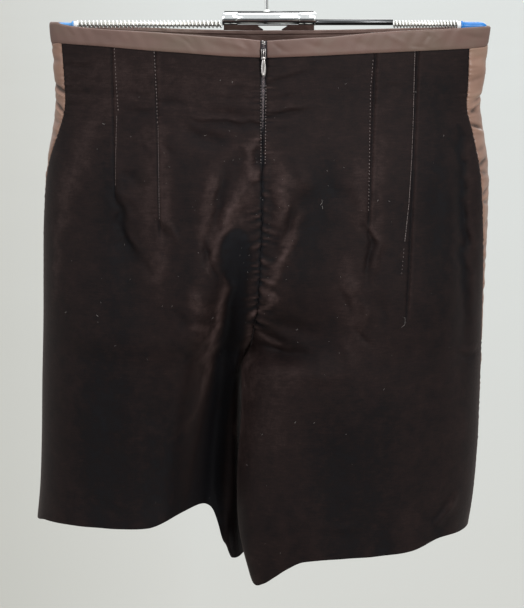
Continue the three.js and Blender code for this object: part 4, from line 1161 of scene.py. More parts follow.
def seam_form(grid):
    """What the seams do to the pile near them: dips, rolled edges and puckers, along the normal."""
    z, levels = grid.z, grid.levels[:, None]
    seed = grid.seed + (100 if grid.half == "front" else 0)
    dip = 0.8 * bell(grid.from_edge, 1.3)
    dip += grid.torso * bell(grid.from_end, 1.7)
    dip += 0.5 * bell((levels - BAND_LEVEL) * LEVEL_HEIGHT, 1.4)
    ripple = gathers(z, grid.from_edge, seed, 5, 0.7, 4.6)
    ripple += grid.torso * seam_puckers(z, grid.from_end, grid.half, seed)
    for k, dart in enumerate(grid.darts):
        gap, held = grid.beside(dart)
        ripple += held * gathers(z + 2 * np.sign(gap), gap, seed + 5 + k, 3.4, 0.42, 3.8)
        ripple += 0.25 * held * bell(gap - 2.6, 1.5)
    along_hem = 0.5 * wobble(grid.x, 46, seed + 20) * smooth(1 - (HEM_LEVEL - levels) / 1.4)
    return ripple + along_hem - dip


def panel_nap_and_painted_light(grid, form):
    """How light the pile lies, with painted highlights on ridges and painted shade in creases, hollows and
    seams: by the listed lines, by the fine form, and beside the seams.
    """
    x, z = crumpled(grid.x, grid.z)
    # painted highlights and shade from the listed lines, and painted shade in the fine folds
    nap_and_painted_light = 0.75 * line_field(NAPS_AND_PAINTED_LIGHT[grid.half], x, z) - 0.08 * line_field(FINE[grid.half], x, z)
    # painted highlights on the form's ridges and painted shade in its dips
    nap_and_painted_light += 0.36 * np.clip(form, -1, 2)
    if grid.half == "back":
        # painted highlights on the puckers' crests, and on the left the painted shade of the hollow
        nap_and_painted_light += 0.3 * grid.torso * seam_puckers(grid.z, grid.from_end, grid.half, grid.seed)
        if grid.side is LEFT:
            nap_and_painted_light -= 0.75 * hollow_shade(grid.x, grid.z)
    for dart in grid.darts:
        gap, held = grid.beside(dart)
        # painted highlight right of the dart and painted shade left of it
        nap_and_painted_light += held * (0.2 * bell(gap - 1.6, 1.1) - 0.3 * bell(gap + 0.6, 0.9))
    # painted shade along the centre seam and the stripe's seam
    nap_and_painted_light -= 0.45 * grid.torso * bell(grid.from_end, 1.2) + 0.3 * bell(grid.from_edge, 1.2)
    return nap_and_painted_light


def inner_form(form):
    """Where a sheet's inner face lies along the normal: a deep crease takes it along."""
    return np.minimum(-CLOTH, form - THINNEST)


def panel(name, side, half, node):
    """A velvet panel, whose hem is turned up inside."""
    grid = Panel(side, half)
    n = normals(grid.base, side["sign"])
    form = seam_form(grid)
    turned_up = smooth((grid.levels - (HEM_LEVEL - HEM_TURN_UP)) / 0.06)[:, None, None]
    outer = grid.base + n * form[..., None]
    inner = grid.base + n * (inner_form(form)[..., None] - HEM_EXTRA * turned_up)
    nap_and_painted_light = panel_nap_and_painted_light(grid, form)
    piece = shell(name, outer, inner, [VELVET, VELVET_BACK], flip=side["sign"] < 0, nap_and_painted_light=nap_and_painted_light)
    return tie(piece, node)


# ---------- satin side stripes ----------

STRIPE_ROWS = 330
STRIPE_COLUMNS = 26
# Creases across the stripes as (pixel Y, half width, depth, slope, place along, reach).
STRIPE_CREASES = {
    "left": [
        (52, 2.0, 0.5, 0.1, -2, 9), (66, 2.4, 0.5, -0.1, -6, 8), (91, 2.2, 1.4, 0.35, -8, 9),
        (96, 2.0, -0.8, 0.35, -8, 9), (109, 2.0, 1.5, 0.5, -8, 9), (114, 2.0, -0.7, 0.4, -8, 8),
        (128, 2.4, 0.7, 0.2, -8, 9), (142, 2.4, 0.6, 0.1, -8, 9), (180, 3, 0.8, 0.2, 0, 12),
        (240, 3, 0.9, -0.2, 4, 12), (300, 3, 1.0, 0.2, 2, 12), (380, 3, 0.8, 0.1, 0, 12),
        (455, 3, 0.9, -0.2, 2, 12),
    ],
    "right": [
        (62, 2.2, 0.5, 0.1, -8, 9), (82, 2.2, 0.6, 0.2, -8, 9), (100, 2.0, -0.4, 0.25, 0, 8),
        (106, 2.3, 1.3, 0.25, 0, 8), (110, 1.6, -0.5, 0.35, -2, 8), (113, 1.8, 1.1, 0.4, -5, 7),
        (120, 2.2, 0.6, -0.2, -9, 8), (137, 1.9, 1.4, -0.3, -8, 9), (142, 1.9, -0.7, -0.3, -8, 8),
        (156, 2.2, 0.7, 0.2, -8, 9), (169, 2.0, 1.3, 0.3, -8, 9), (186, 2.2, 0.8, -0.2, -8, 9),
        (201, 2.0, 1.4, 0.3, -8, 9), (207, 1.9, -0.8, 0.3, -8, 8), (217, 2.0, 1.2, -0.2, -8, 9),
        (236, 2.2, 0.9, 0.2, -8, 9), (258, 2.0, 1.3, 0.3, -8, 9), (280, 2.2, 0.9, -0.2, -6, 9),
        (310, 2.4, 1.0, 0.2, -4, 10), (364, 2.4, 1.4, 0.1, -4, 12), (420, 3, 0.9, 0.2, 0, 12),
        (480, 3, 0.9, -0.2, 0, 12),
    ],
}
CREASE_DEPTH = 1.5
# CREASE_SHADE is painted shade: the value it gives a crease darkens the satin there
CREASE_SHADE = -0.21 # the nap of a crease, for each millimetre of its depth


def stripe_creases(side, z, across):
    """How deep a stripe's creases go in at its points."""
    creases = np.zeros_like(z)
    for py, width, depth, slope, place, reach in STRIPE_CREASES[side["name"]]:
        from_middle = z - on_back(0, py)[1] - slope * across
        creases += CREASE_DEPTH * depth * bell(across - place, reach) * bell(from_middle, width)
    return creases


def side_stripe(name, side, node):
    """A satin stripe, gathered along its edges and creased across."""
    levels = np.linspace(BAND_LEVEL + UNDER_BAND, HEM_LEVEL, STRIPE_ROWS + 1)
    middle = column(side["rows"]["stripe"], levels)[:, None]
    half = STRIPE_WIDTH / 2
    across = np.linspace(-half, half, STRIPE_COLUMNS + 1)[None, :]
    base = surface(Rings(side, levels), middle + across)
    n = normals(base, side["sign"])
    z = base[..., 2]
    edge = half - np.abs(across)
    form = gathers(z, edge, 71 if side is LEFT else 83, 4.5, 0.6, 4.6) - 0.7 * bell(edge, 1.2)
    form += 0.3 * wobble(z + across * 0.4, 24, 5) + 0.45 * (1 - (across / half) ** 2)
    creases = stripe_creases(side, z, across)
    form -= creases
    outer, inner = (base + n * f[..., None] for f in (form, inner_form(form)))
    # painted shade in the creases, which the satin reads from the nap attribute
    shade = CREASE_SHADE * np.clip(creases, -0.6, 2)
    piece = shell(name, outer, inner, [SATIN, VELVET_BACK], flip=side["sign"] < 0, nap_and_painted_light=shade)
    return tie(piece, node)


# ---------- satin waistband ----------

BAND_ROWS = 26
BAND_COLUMNS = 300
BAND_HEIGHT = 16.5
SLOT_LEVEL = 0.93 # where the waistband's gap ends and the velvet's narrower one starts
# Soft creases of the back waistband as lines of (pixel X, pixel Y, half width, depth).
BAND_CREASES = {
    "near": [
        [(64, 31, 2.4, 0.5), (70, 38, 2.4, 0.8), (68, 44, 2.4, 0.2)],
        [(84, 30, 3, 0), (96, 36, 3.4, 0.6), (112, 42, 3, 0)],
        [(118, 33, 3, -0.4), (126, 40, 3, -0.5), (130, 46, 3, 0)],
        [(140, 36, 3.4, 0), (152, 40, 3.4, 0.6), (168, 42, 3, 0)],
        [(160, 34, 2.4, -0.3), (176, 40, 2.6, -0.6), (184, 47, 2.6, 0)],
        [(180, 37, 1.8, 0.3), (187, 42, 1.8, 0.9), (193, 49, 1.8, 0.3)],
        [(204, 40, 2.6, 0), (216, 46, 3, 0.7), (236, 50, 2.6, 0)],
        [(226, 42, 2, -0.3), (240, 46, 2.2, -0.7), (252, 52, 2, 0)],
        [(274, 44, 2, 0.5), (282, 50, 2.2, 0.7), (292, 54, 2, 0)],
        [(300, 40, 2.8, 0), (314, 46, 3, 0.6), (334, 50, 2.8, 0)],
        [(344, 38, 3, 0), (360, 44, 3.4, 0.5), (378, 48, 3, 0)],
        [(388, 36, 2.4, -0.3), (400, 42, 2.6, -0.6), (410, 48, 2.4, 0)],
        [(426, 32, 2, 0.6), (429, 38, 2, 1.0), (424, 46, 2, 0.3)],
        [(436, 34, 2.4, -0.4), (440, 40, 2.4, -0.7), (434, 47, 2.4, 0)],
        [(414, 48, 1.6, 0.4), (422, 49, 1.8, 1.0), (430, 50, 1.6, 0.3)],
        [(466, 38, 1.8, 0.3), (477, 41, 2, 1.2), (487, 42, 1.8, 0.8)],
        [(462, 33, 2.4, -0.3), (476, 35, 2.6, -0.8), (487, 36, 2.4, -0.5)],
    ],
}
NEAR_BAND_FOLDS = from_picture(BAND_CREASES)
FAR_BAND_FOLDS = [[(x - 9, -98, 3.4, 0), (x, -108, 3.6, 0.7 * (-1) ** k), (x + 7, -119, 3.4, 0)]
                  for k, x in enumerate(range(-165, 180, 23))]
STITCH_RIDGE = 4.2 # under the top edge, where the band's inner face is stitched down


def band_places(rings, half):
    """Places along the waistband's rings, closer together towards the side."""
    end = rings.length(half) - (BAND_SLOT / 2 if half == "back" else 0)
    share = np.linspace(0, 1, BAND_COLUMNS + 1)[None, :] ** 1.15
    places = mix(SEAM / 2, end[:, None], share)
    return -places[:, ::-1] if half == "back" else places


def band_faces(side, half, seed):
    """Outer and inner face of one side of the waistband."""
    levels = np.linspace(0, BAND_LEVEL, BAND_ROWS + 1)
    rings = Rings(side, levels)
    along = band_places(rings, half)
    base = surface(rings, along)
    n = normals(base, side["sign"])
    down = levels[:, None] * BAND_HEIGHT
    folds = line_field(NEAR_BAND_FOLDS if half == "back" else FAR_BAND_FOLDS, base[..., 0], base[..., 2])
    round_top, round_foot = bell(down, 1.1), bell(BAND_HEIGHT - down, 0.9)
    swell = 0.35 * np.sin(math.pi * levels)[:, None] + 0.18 * wobble(along + 0.5 * down, 19, seed)
    out = BAND_PROUD + swell - 0.55 * folds - 0.9 * round_top - 0.5 * round_foot
    ridge = 0.55 * bell(down - STITCH_RIDGE, 0.7) - 0.5 * bell(down - STITCH_RIDGE - 1.6, 0.5)
    into = BAND_CLOTH - BAND_PROUD - 0.8 * round_top + ridge + 0.2 * wobble(along - down, 23, seed + 3)
    return base + n * out[..., None], base - n * into[..., None]


def back_band(name, side, node):
    """One side of the back waistband, up to the zip."""
    outer, inner = band_faces(side, "back", 7 if side is LEFT else 8)
    return tie(shell(name, outer, inner, [BAND_SATIN], flip=side["sign"] < 0), node)


def front_band(name):
    """The front waistband, in one piece from side to side."""
    left, right = band_faces(LEFT, "front", 9), band_faces(RIGHT, "front", 10)
    outer, inner = (np.concatenate([r, l[:, ::-1][:, 1:]], 1) for l, r in zip(left, right))
    return tie(shell(name, outer, inner, [BAND_SATIN], flip=False), "waistband_front")


# ---------- zip ----------


TAPE_LEVELS, COIL_LEVELS, STOP_LEVELS = (0.14, 5.75), (0.3, 3.55), (0.17, 0.22, 0.29, 0.34)


def centre_line(levels, depth):
    """Points of the centre back line, some depth inside the garment."""
    line = Rings(LEFT, levels).points["back"][:, -1].copy()
    line[:, 1] += depth
    return line


def sunk(levels, at_slider, below):
    """How deep a part of the zip lies: close under the velvet's face at the slider, and behind the velvet
    further down."""
    return mix(at_slider, CLOTH + below, smooth((levels - SLIDER_LEVEL) / 2))


def zip_tape():
    """The tape, which runs on behind the velvet where that closes over it."""
    levels = np.linspace(*TAPE_LEVELS, 150)
    centre = centre_line(levels, sunk(levels, 0.7, 0.9))
    half = mix(BAND_SLOT / 2 - SEAM, ZIP_WIDTH / 2, smooth((levels - SLOT_LEVEL) / 0.05))
    across = np.array([-1, -0.5, 0, 0.5, 1.0])
    outer = centre[:, None, :] + np.array([1.0, 0, 0]) * (half[:, None] * across)[..., None]
    outer[..., 1] += 0.12 * np.cos(across * math.pi)[None, :]
    inner = outer + np.array([0, 0.8, 0])
    return tie(shell("zip_tape", outer, inner, [TAPE], flip=False), "zip_chain")


COIL_PITCH, TOOTH_RADIUS, TOOTH_THREAD, COIL_OFFSET, COIL_DEPTH = 1.5, 0.5, 0.2, 0.36, 0.28


def zip_coils():
    """Two nylon coils whose turns mesh down the middle of the tape."""
    levels = np.linspace(*COIL_LEVELS, 900)
    centre = centre_line(levels, sunk(levels, 0.25, 0.45))
    run = np.concatenate([[0], np.cumsum(np.linalg.norm(np.diff(centre, axis=0), axis=1))])
    t = np.arange(0, run[-1], COIL_PITCH / 8)
    parts = []
    for sign in (-1, 1):
        line = np.stack([np.interp(t, run, centre[:, k]) for k in range(3)], 1)
        angle = 2 * math.pi * t / COIL_PITCH + (0 if sign < 0 else math.pi)
        line[:, 0] += sign * COIL_OFFSET + TOOTH_RADIUS * np.cos(angle)
        line[:, 1] -= COIL_DEPTH * np.sin(angle)
        parts.append(tube(line, TOOTH_THREAD, sides=5))
    return tie(solid_piece("zip_coils", parts, COIL), None)


def zip_stops():
    """The light stops that end the coils above the slider."""
    parts = []
    for sign, (x, y, z) in zip((-1, 1, -1, 1), centre_line(STOP_LEVELS, 0)):
        x += sign * 0.8
        parts.append(rounded_block((x - 0.75, y - 0.5, z - 0.7), (x + 0.75, y + 0.9, z + 0.7), 0.35))
    return tie(solid_piece("zip_stops", parts, NICKEL), None)


SLIDER_X, SLIDER_BACK, SLIDER_TOP, SLIDER_WIDTH, SLIDER_HEIGHT = -2.65, -47.1, -111.2, 4.6, 9.2
SLIDER_FRONT, SLIDER_FOOT = SLIDER_BACK - 2.4, SLIDER_TOP - SLIDER_HEIGHT
PIN_Y, PIN_Z, PIN_RADIUS, EAR_X = -51.4, -119.8, 0.45, 1.6
PULL_LENGTH, PULL_HALF, PULL_TILT = 14.3, 1.15, math.radians(3)


def slider_shield():
    """The slider's two bevelled plates and what joins them, in one loft."""
    top, foot, front, back = SLIDER_TOP, SLIDER_FOOT, SLIDER_FRONT, SLIDER_BACK
    half, waist = SLIDER_WIDTH / 2, SLIDER_WIDTH * 0.36
    right = [(waist, foot), (waist * 1.04, mix(foot, top, 0.3)), (half, mix(foot, top, 0.66)),
             (half * 0.96, top - 0.9), (half * 0.5, top - 0.1)]
    outline = [(SLIDER_X + x, z) for x, z in right] + [(SLIDER_X, top + 0.1)]
    outline += [(SLIDER_X - x, z) for x, z in reversed(right)]
    bevel, groove = 0.28, 0.35
    return lofted(np.array(outline), [
        (front, bevel), (front + bevel * 0.3, bevel * 0.3), (front + bevel, 0), (front + 0.9, 0),
        (front + 1.0, groove), (back - 0.8, groove), (back - 0.7, 0), (back - 0.1, 0), (back, 0.15)])


def slider_rails():
    """The slider's bridge, a rail and an ear on each side, and the pull's pin."""
    top, foot, front = SLIDER_TOP, SLIDER_FOOT, SLIDER_FRONT
    bridge = [(front + 0.4, top - 1.4), (front - 0.7, top - 2.2), (front - 1.1, top - 4),
              (front - 1.0, top - 6), (front + 0.3, top - 7.2)]
    rail = [(1.55, front + 0.05, top - 1.2), (1.6, front - 0.15, top - 3.4),
            (1.3, front - 0.15, foot + 1.2), (1.1, front + 0.1, foot + 0.2)]
    parts = [tube(spline([(SLIDER_X, y, z) for y, z in bridge], 24), 0.5, sides=10)]
    for sign in (-1, 1):
        line = [(SLIDER_X + sign * away, y, z) for away, y, z in rail]
        parts.append(tube(spline(line, 16), 0.34, sides=8))
        x = SLIDER_X + sign * EAR_X
        low, high = (x - 0.3, PIN_Y - 0.8, PIN_Z - 0.85), (x + 0.3, front + 0.3, PIN_Z + 0.85)
        parts.append(rounded_block(low, high, 0.2))
    pin = [(SLIDER_X - EAR_X, PIN_Y, PIN_Z), (SLIDER_X + EAR_X, PIN_Y, PIN_Z)]
    return [*parts, tube(pin, PIN_RADIUS, sides=14)]


def zip_slider():
    """The slider, with its plates dark and its rails bare."""
    tie(solid_piece("zip_slider_rails", slider_rails(), NICKEL), None)
    tie(solid_piece("zip_slider_shields", [slider_shield()], ENAMEL), "zip_slider")


def spline(points, count):
    """A smooth curve through points, by Catmull-Rom."""
    points = np.asarray(points, float)
    t = np.linspace(0, len(points) - 1, count)
    return np.stack([column(points[:, k], t) for k in range(3)], 1)


def zip_pull():
    """A long drop of flattened wire round an open slot, hanging from its barrel."""
    sides, steps = 14, 72
    turn = 2 * math.pi * np.linspace(0, 1, steps, endpoint=False)
    share = (1 - np.cos(turn)) / 2
    x = PULL_HALF * np.sign(np.sin(turn)) * np.abs(np.sin(turn)) ** 0.7 * mix(0.6, 1, smooth(share / 0.6))
    down = -1.5 - (PULL_LENGTH - 1.5) * share
    line = np.stack([x, np.zeros_like(x), down], 1)
    away = np.gradient(np.concatenate([line[-1:], line, line[:1]]), axis=0)[1:-1]
    away = np.stack([-away[:, 2], 0 * x, away[:, 0]], 1)
    away /= np.linalg.norm(away, axis=1)[:, None]
    angle = np.linspace(0, 2 * math.pi, sides, endpoint=False)
    ring = away[:, None] * (0.88 * np.cos(angle))[None, :, None]
    ring = ring + np.array([0, 1.0, 0]) * (0.42 * np.sin(angle))[None, :, None]
    verts = turned(line[:, None] + ring, PULL_TILT).reshape(-1, 3)
    faces = grid_faces(steps + 1, sides, closed=True) % len(verts)
    piece = solid_piece("zip_pull_tab", [(verts, faces), barrel_ring(1.0, 1.25, 0.8)], NICKEL, body="pull")
    return tie(piece, "zip_pull")


def turned(points, tilt):
    """Points of the hanging pull, in its own frame, tilted out and put on the pin."""
    c, s = math.cos(tilt), math.sin(tilt)
    x, y, z = points[..., 0], points[..., 1], points[..., 2]
    return np.stack([SLIDER_X + x, PIN_Y + c * y + s * z, PIN_Z - s * y + c * z], -1)


def barrel_ring(half_width, outer, bore, sides=28):
    """A short bevelled barrel along X round the pin."""
    bevel = 0.15
    right = [(half_width, bore), (half_width, outer - bevel), (half_width - bevel, outer)]
    loops = [(-x, r) for x, r in right] + right[::-1]
    angle = np.linspace(0, 2 * math.pi, sides, endpoint=False)
    verts = [(SLIDER_X + x, PIN_Y + r * math.cos(a), PIN_Z + r * math.sin(a))
             for x, r in loops for a in angle]
    k, last = np.arange(sides), (len(loops) - 1) * sides
    after = (k + 1) % sides
    inside = np.stack([last + k, k, after, last + after], -1)
    return np.array(verts), np.concatenate([grid_faces(len(loops), sides, closed=True), inside])


# ---------- hanger ----------

HOOK_WIRE, CROOK, HOOK_FOOT, SHANK_TOP, TIP_ANGLE = 1.6, 24.1, -84.7, -62, 200
BODY_X, BODY_Z, BODY_LENGTH, BODY_TALL = 2, -90.5, 81, 11
BODY_LEFT, BODY_RIGHT = BODY_X - BODY_LENGTH / 2, BODY_X + BODY_LENGTH / 2
LIP_TOP, LIP_SHOULDER, LIP_BOTTOM, LIP_LENGTH = -95.7, -96.5, -100.8, 78
NOTCH_X, NOTCH_TOP, NOTCH_BOTTOM = 5, 26, 16
SPRING_Z, ROD_Z = -95.5, -93.8
COIL_RADIUS, WIRE_RADIUS = 2.7, 0.66


def hook():
    """The wire from the body up and round the crook, with a round tip."""
    centre = -(CROOK - HOOK_WIRE)
    points = [(0, 0, HOOK_FOOT), (0, 0, mix(HOOK_FOOT, SHANK_TOP, 0.6)), (0.6, 0, SHANK_TOP), (12.5, 0, -47)]
    for a in np.radians(np.arange(0, TIP_ANGLE + 1, 20)):
        points.append((CROOK * math.cos(a), 0, centre + CROOK * math.sin(a)))
    line = spline(points, 220)
    radius = np.full(len(line), HOOK_WIRE)
    end = 8
    closing = 1 - (np.arange(1, end + 1) / (end + 0.3)) ** 2
    radius[-end:] = HOOK_WIRE * np.sqrt(np.clip(closing, 0.02, 1))
    return tie(solid_piece("hook_wire", [tube(line, radius, sides=20)], CHROME), "hook")


def swivel():
    """The rivet and ring in which the hook turns."""
    profile = [(0.2, 0), (2.5, 0), (2.9, 0.5), (2.7, 1.2), (2.0, 1.9), (1.7, 2.3), (0.2, 2.3)]
    piece = solid_piece("hook_swivel", [turned_profile(profile, (0, 0, HOOK_FOOT - 0.4), "z", 32)], SPRING)
    return tie(piece, None)


def turned_profile(profile, start, axis, sides):
    """A closed turned body: (radius, distance) points round an axis that starts at a point."""
    d = np.array({"x": (1, 0, 0), "-x": (-1, 0, 0), "z": (0, 0, 1)}[axis], float)
    u = np.array([0.0, 1.0, 0.0])
    v = np.cross(d, u)
    verts = []
    for radius, distance in profile:
        for a in np.linspace(0, 2 * math.pi, sides, endpoint=False):
            verts.append(start + d * distance + radius * (u * math.cos(a) + v * math.sin(a)))
    ends = np.array([start + d * profile[0][1], start + d * profile[-1][1]])
    return capped(np.array(verts), len(profile), sides, ends)


def round_bar(x0, x1, z, size, edge=0.5):
    """A bar along X whose section is between a square and a circle, with softly rounded ends."""
    sides, square = 48, 2.6
    ends = [(0, 0.82), (edge * 0.3, 0.93), (edge, 1)]
    steps = ends + [(x1 - x0 - dx, k) for dx, k in reversed(ends)]
    angle = np.linspace(0, 2 * math.pi, sides, endpoint=False)
    y, up = (np.sign(w) * np.abs(w) ** (2 / square) * size / 2 for w in (np.cos(angle), np.sin(angle)))
    verts = np.concatenate([np.stack([np.full(sides, x0 + dx), y * k, z + up * k], 1) for dx, k in steps])
    return capped(verts, len(steps), sides, np.array([[x0, 0, z], [x1, 0, z]], float))


def hanger_body():
    """The bar, with a thicker sleeve and a rim at each end."""
    sleeve, rim, inset = BODY_TALL, BODY_TALL + 0.2, 1.4
    parts = [
        round_bar(BODY_LEFT + inset, BODY_RIGHT - inset, BODY_Z, BODY_TALL - 0.9),
        round_bar(BODY_LEFT, BODY_LEFT + 13.8, BODY_Z, sleeve, 0.8),
        round_bar(BODY_RIGHT - 15.4, BODY_RIGHT, BODY_Z, sleeve, 0.8),
        round_bar(BODY_LEFT - 0.1, BODY_LEFT + 1.6, BODY_Z - 0.4, rim),
        round_bar(BODY_RIGHT - 1.9, BODY_RIGHT + 0.1, BODY_Z - 0.4, rim),
    ]
    return tie(solid_piece("hanger_bar", parts, CHROME), "hanger_body")


def hanger_seam():
    """The dark edge of the folded sheet, along the top of the body."""
    z = BODY_Z + BODY_TALL / 2 + 0.1
    line = [(BODY_LEFT + 2, 1.5, z), (BODY_RIGHT - 2, 1.5, z)]
    return tie(solid_piece("hanger_seam", [tube(line, 0.6, 10)], DARK_STEEL_AND_PAINTED_REFLECTION), None)


def lip_outline():
    """The lip's outline in X and Z, with its notch, in steps of about 4 mm."""
    left, right, low = BODY_X - LIP_LENGTH / 2, BODY_X + LIP_LENGTH / 2, LIP_BOTTOM
    top, bottom = NOTCH_TOP / 2, NOTCH_BOTTOM / 2
    corners = np.array([
        (left, LIP_TOP), (left, low + 0.5), (left + 0.5, low),
        (NOTCH_X - bottom - 0.6, low), (NOTCH_X - bottom, low + 0.5), (NOTCH_X - top, LIP_SHOULDER),
        (NOTCH_X + top, LIP_SHOULDER), (NOTCH_X + bottom, low + 0.5), (NOTCH_X + bottom + 0.6, low),
        (right - 0.5, low), (right, low + 0.5), (right, LIP_TOP),
    ])[::-1]
    points = []
    for a, b in zip(corners, np.roll(corners, -1, 0)):
        count = max(1, int(np.linalg.norm(b - a) / 4))
        points += [mix(a, b, k / count) for k in range(count)]
    return np.array(points)


def hanger_lip():
    """The folded lip under the body, its face turned a little down, with its notch."""
    x, z = lip_outline().T
    lean = math.tan(math.radians(7)) * 0.8
    layers = []
    for y, inset in ((-1.2, 0.2), (-1.0, 0), (1.0, 0), (1.2, 0.2)):
        layers.append(np.stack([x, y + lean * (LIP_TOP - z), z + np.sign(z.mean() - z) * inset], 1))
    faces = grid_faces(len(layers), len(x), closed=True)
    return tie(lip_with_ends(np.concatenate(layers), faces, len(x)), "hanger_lip")


def lip_with_ends(verts, faces, n):
    """Closes the lip's two faces, which aren't convex, by filling their outlines."""
    piece = mesh_piece("hanger_lip_plate", verts, faces, [CHROME])
    bm = bmesh.new()
    bm.from_mesh(piece.data)
    bm.verts.ensure_lookup_table()
    for first in (0, 3 * n):
        loop = [bm.verts[first + k] for k in range(n)]
        edges = [bm.edges.get((a, b)) for a, b in zip(loop, loop[1:] + loop[:1])]
        bmesh.ops.triangle_fill(bm, edges=edges, use_beauty=True, use_dissolve=False)
    for face in bm.faces:
        face.smooth = False
    bmesh.ops.recalc_face_normals(bm, faces=bm.faces)
    bm.to_mesh(piece.data)
    bm.free()
    return piece


def coil_spring(name, x0, x1, pitch, node):
    """A spring on the rod that slides in it."""
    turns = (x1 - x0) / pitch
    t = np.linspace(0, turns, int(turns * 16))
    angle = 2 * math.pi * t
    line = np.stack([x0 + pitch * t, COIL_RADIUS * np.cos(angle), SPRING_Z + COIL_RADIUS * np.sin(angle)], 1)
    tie(solid_piece(name, [tube(line, WIRE_RADIUS, sides=8)], SPRING), node)
    core = tube([(x0 + 1, 0, SPRING_Z), (x1 - 1, 0, SPRING_Z)], COIL_RADIUS - 0.7, 16)
    tie(solid_piece(f"{name}_core", [core], CORE_STEEL), None)


def arm_rod():
    """The bare rod between the body and the right spring, whose dark colour is a painted reflection of the
    velvet.
    """
    profile = [(2.3, 0), (2.6, 0.35), (2.6, 66.6), (2.3, 67)]
    piece = solid_piece("right_arm_rod", [turned_profile(profile, (42, 0, ROD_Z), "x", 28)], DARK_STEEL_AND_PAINTED_REFLECTION)
    return tie(piece, "right_rod")


def tip(name, root, end, z, radii, blunt, material, node):
    """A moulded cap: a flange, and a nose that narrows to the end that pushes the waistband outwards.
    The radii are those of the flange, the neck and the nose; blunt is where the nose starts to close."""
    length = abs(end - root)
    flange, neck, nose = radii
    profile = [(0.3, 0), (flange - 0.4, 0), (flange, 0.3), (flange, 1.1), (flange - 0.4, 1.6), (neck, 2.4),
               (mix(neck, nose, 0.6), 0.3 * length), (nose, 0.45 * length), (nose, (blunt - 0.03) * length)]
    for a in np.radians(np.linspace(6, 86, 9)):
        along = length * (blunt + (1 - blunt) * math.sin(a))
        profile.append(((nose - 0.2) * math.cos(a) + 0.15, along))
    body = turned_profile(profile, (root, 0, z), "x" if end > root else "-x", 32)
    return tie(solid_piece(name, [body], material), node)


def collar(name, x0, x1, z, radius):
    """A white ring with rounded edges, between a spring and its tip."""
    long = x1 - x0
    profile = [(0.3, 0), (radius - 0.4, 0), (radius, 0.3),
               (radius, long - 0.3), (radius - 0.4, long), (0.3, long)]
    return tie(solid_piece(name, [turned_profile(profile, (x0, 0, z), "x", 28)], WHITE), None)


# ---------- stitches, lint and loose threads ----------


def surface_point(x, z):
    """The point of the garment's back at X and Z, on its finished face."""
    origin, direction = Vector((x, -400, z)) * MM, Vector((0, 1, 0))
    best = None
    for piece in BACK_PIECES:
        hit, place, normal, _ = piece.ray_cast(origin, direction)
        if hit and (best is None or place.y < best[0].y):
            best = (place, normal)
    return None if best is None else (np.array(best[0]) / MM, np.array(best[1]))


def along_face(direction, normal):
    """A direction turned into the plane of the cloth, with a length of 1."""
    direction = direction - normal * np.dot(direction, normal)
    return direction / max(np.linalg.norm(direction), TINY)


def dash(centre, direction, length, radius):
    """A short straight bit of thread with thinner ends."""
    a, b = centre - direction * length / 2, centre + direction * length / 2
    points = [mix(a, b, t) for t in (0, 0.2, 0.5, 0.8, 1)]
    return tube(points, np.array([0.35, 0.9, 1, 0.9, 0.35]) * radius, sides=5)


def stitch_line(parts, points, spacing, length, radius, rng):
    """Thread dashes on the back's face along a line of (X, Z)."""
    points = np.array(points, float)
    run = np.concatenate([[0], np.cumsum(np.hypot(*np.diff(points, axis=0).T))])
    for s in np.arange(spacing / 2, run[-1], spacing):
        s += rng.uniform(-0.12, 0.12) * spacing
        x, z = (np.interp(s, run, points[:, k]) for k in range(2))
        found = surface_point(x, z)
        if found is None:
            continue
        place, normal = found
        x2, z2 = (np.interp(s + 0.5, run, points[:, k]) for k in range(2))
        direction = along_face(np.array([x2 - x, 0, z2 - z]), normal)
        parts.append(dash(place + normal * radius * 0.5, direction, length * rng.uniform(0.75, 1.15), radius))


# The lines of stitches as pixel points: (points, spacing, length, thread radius).
STITCH_LINES = [
    ([(260.9, 84), (260.9, 132), (260.9, 165)], 2.5, 1.0, 0.3),
    ([(266.1, 84), (265.6, 132), (265.2, 165)], 2.5, 1.0, 0.3),
    ([(113, 49), (115, 86), (117, 114)], 3.0, 1.2, 0.2),
    ([(153.5, 52), (156, 96), (157, 124)], 3.0, 1.4, 0.25),
    ([(157.6, 126), (158.4, 170), (159, 222)], 2.2, 1.5, 0.16),
    ([(115.5, 118), (114.5, 150), (114, 190)], 2.4, 1.6, 0.14),
    ([(373.6, 60), (371, 90), (370, 144), (368.6, 214)], 2.9, 1.2, 0.2),
    ([(416, 52), (414.6, 120), (413, 159), (410, 207), (405.6, 246)], 2.0, 1.7, 0.2),
    ([(405, 250), (402.6, 278)], 3.4, 1.2, 0.14),
]


def stitches():
    """The thread that shows along the darts and beside the zip."""
    rng = np.random.default_rng(4)
    parts = []
    for pixels, spacing, length, radius in STITCH_LINES:
        stitch_line(parts, [on_back(*p) for p in pixels], spacing, length, radius, rng)
    return tie(solid_piece("dart_stitches", parts, STITCH), None)


# Larger bits of fluff and thread ends as (pixel X, pixel Y, length, slant in degrees).
FLUFF = [
    (321, 203, 5.0, 70), (322, 208, 3.0, 100), (404, 327, 6.5, 60), (405, 322, 4.0, 110), (297, 333, 2.5, 30),
    (102, 127, 2.6, -20), (205, 136, 2.2, 10), (232, 82, 1.6, 80), (346, 84, 2.0, 20), (62, 321, 2.4, 10),
    (96, 320, 2.2, -30), (212, 322, 2.0, 40), (295, 421, 1.8, 60), (314, 421, 1.6, 20), (384, 390, 1.8, 40),
    (262, 436, 1.8, 20), (378, 202, 1.6, 70), (390, 203, 1.6, 10), (446, 140, 1.8, 60), (417, 94, 2.2, 0),
]
LINT_COUNT = 120


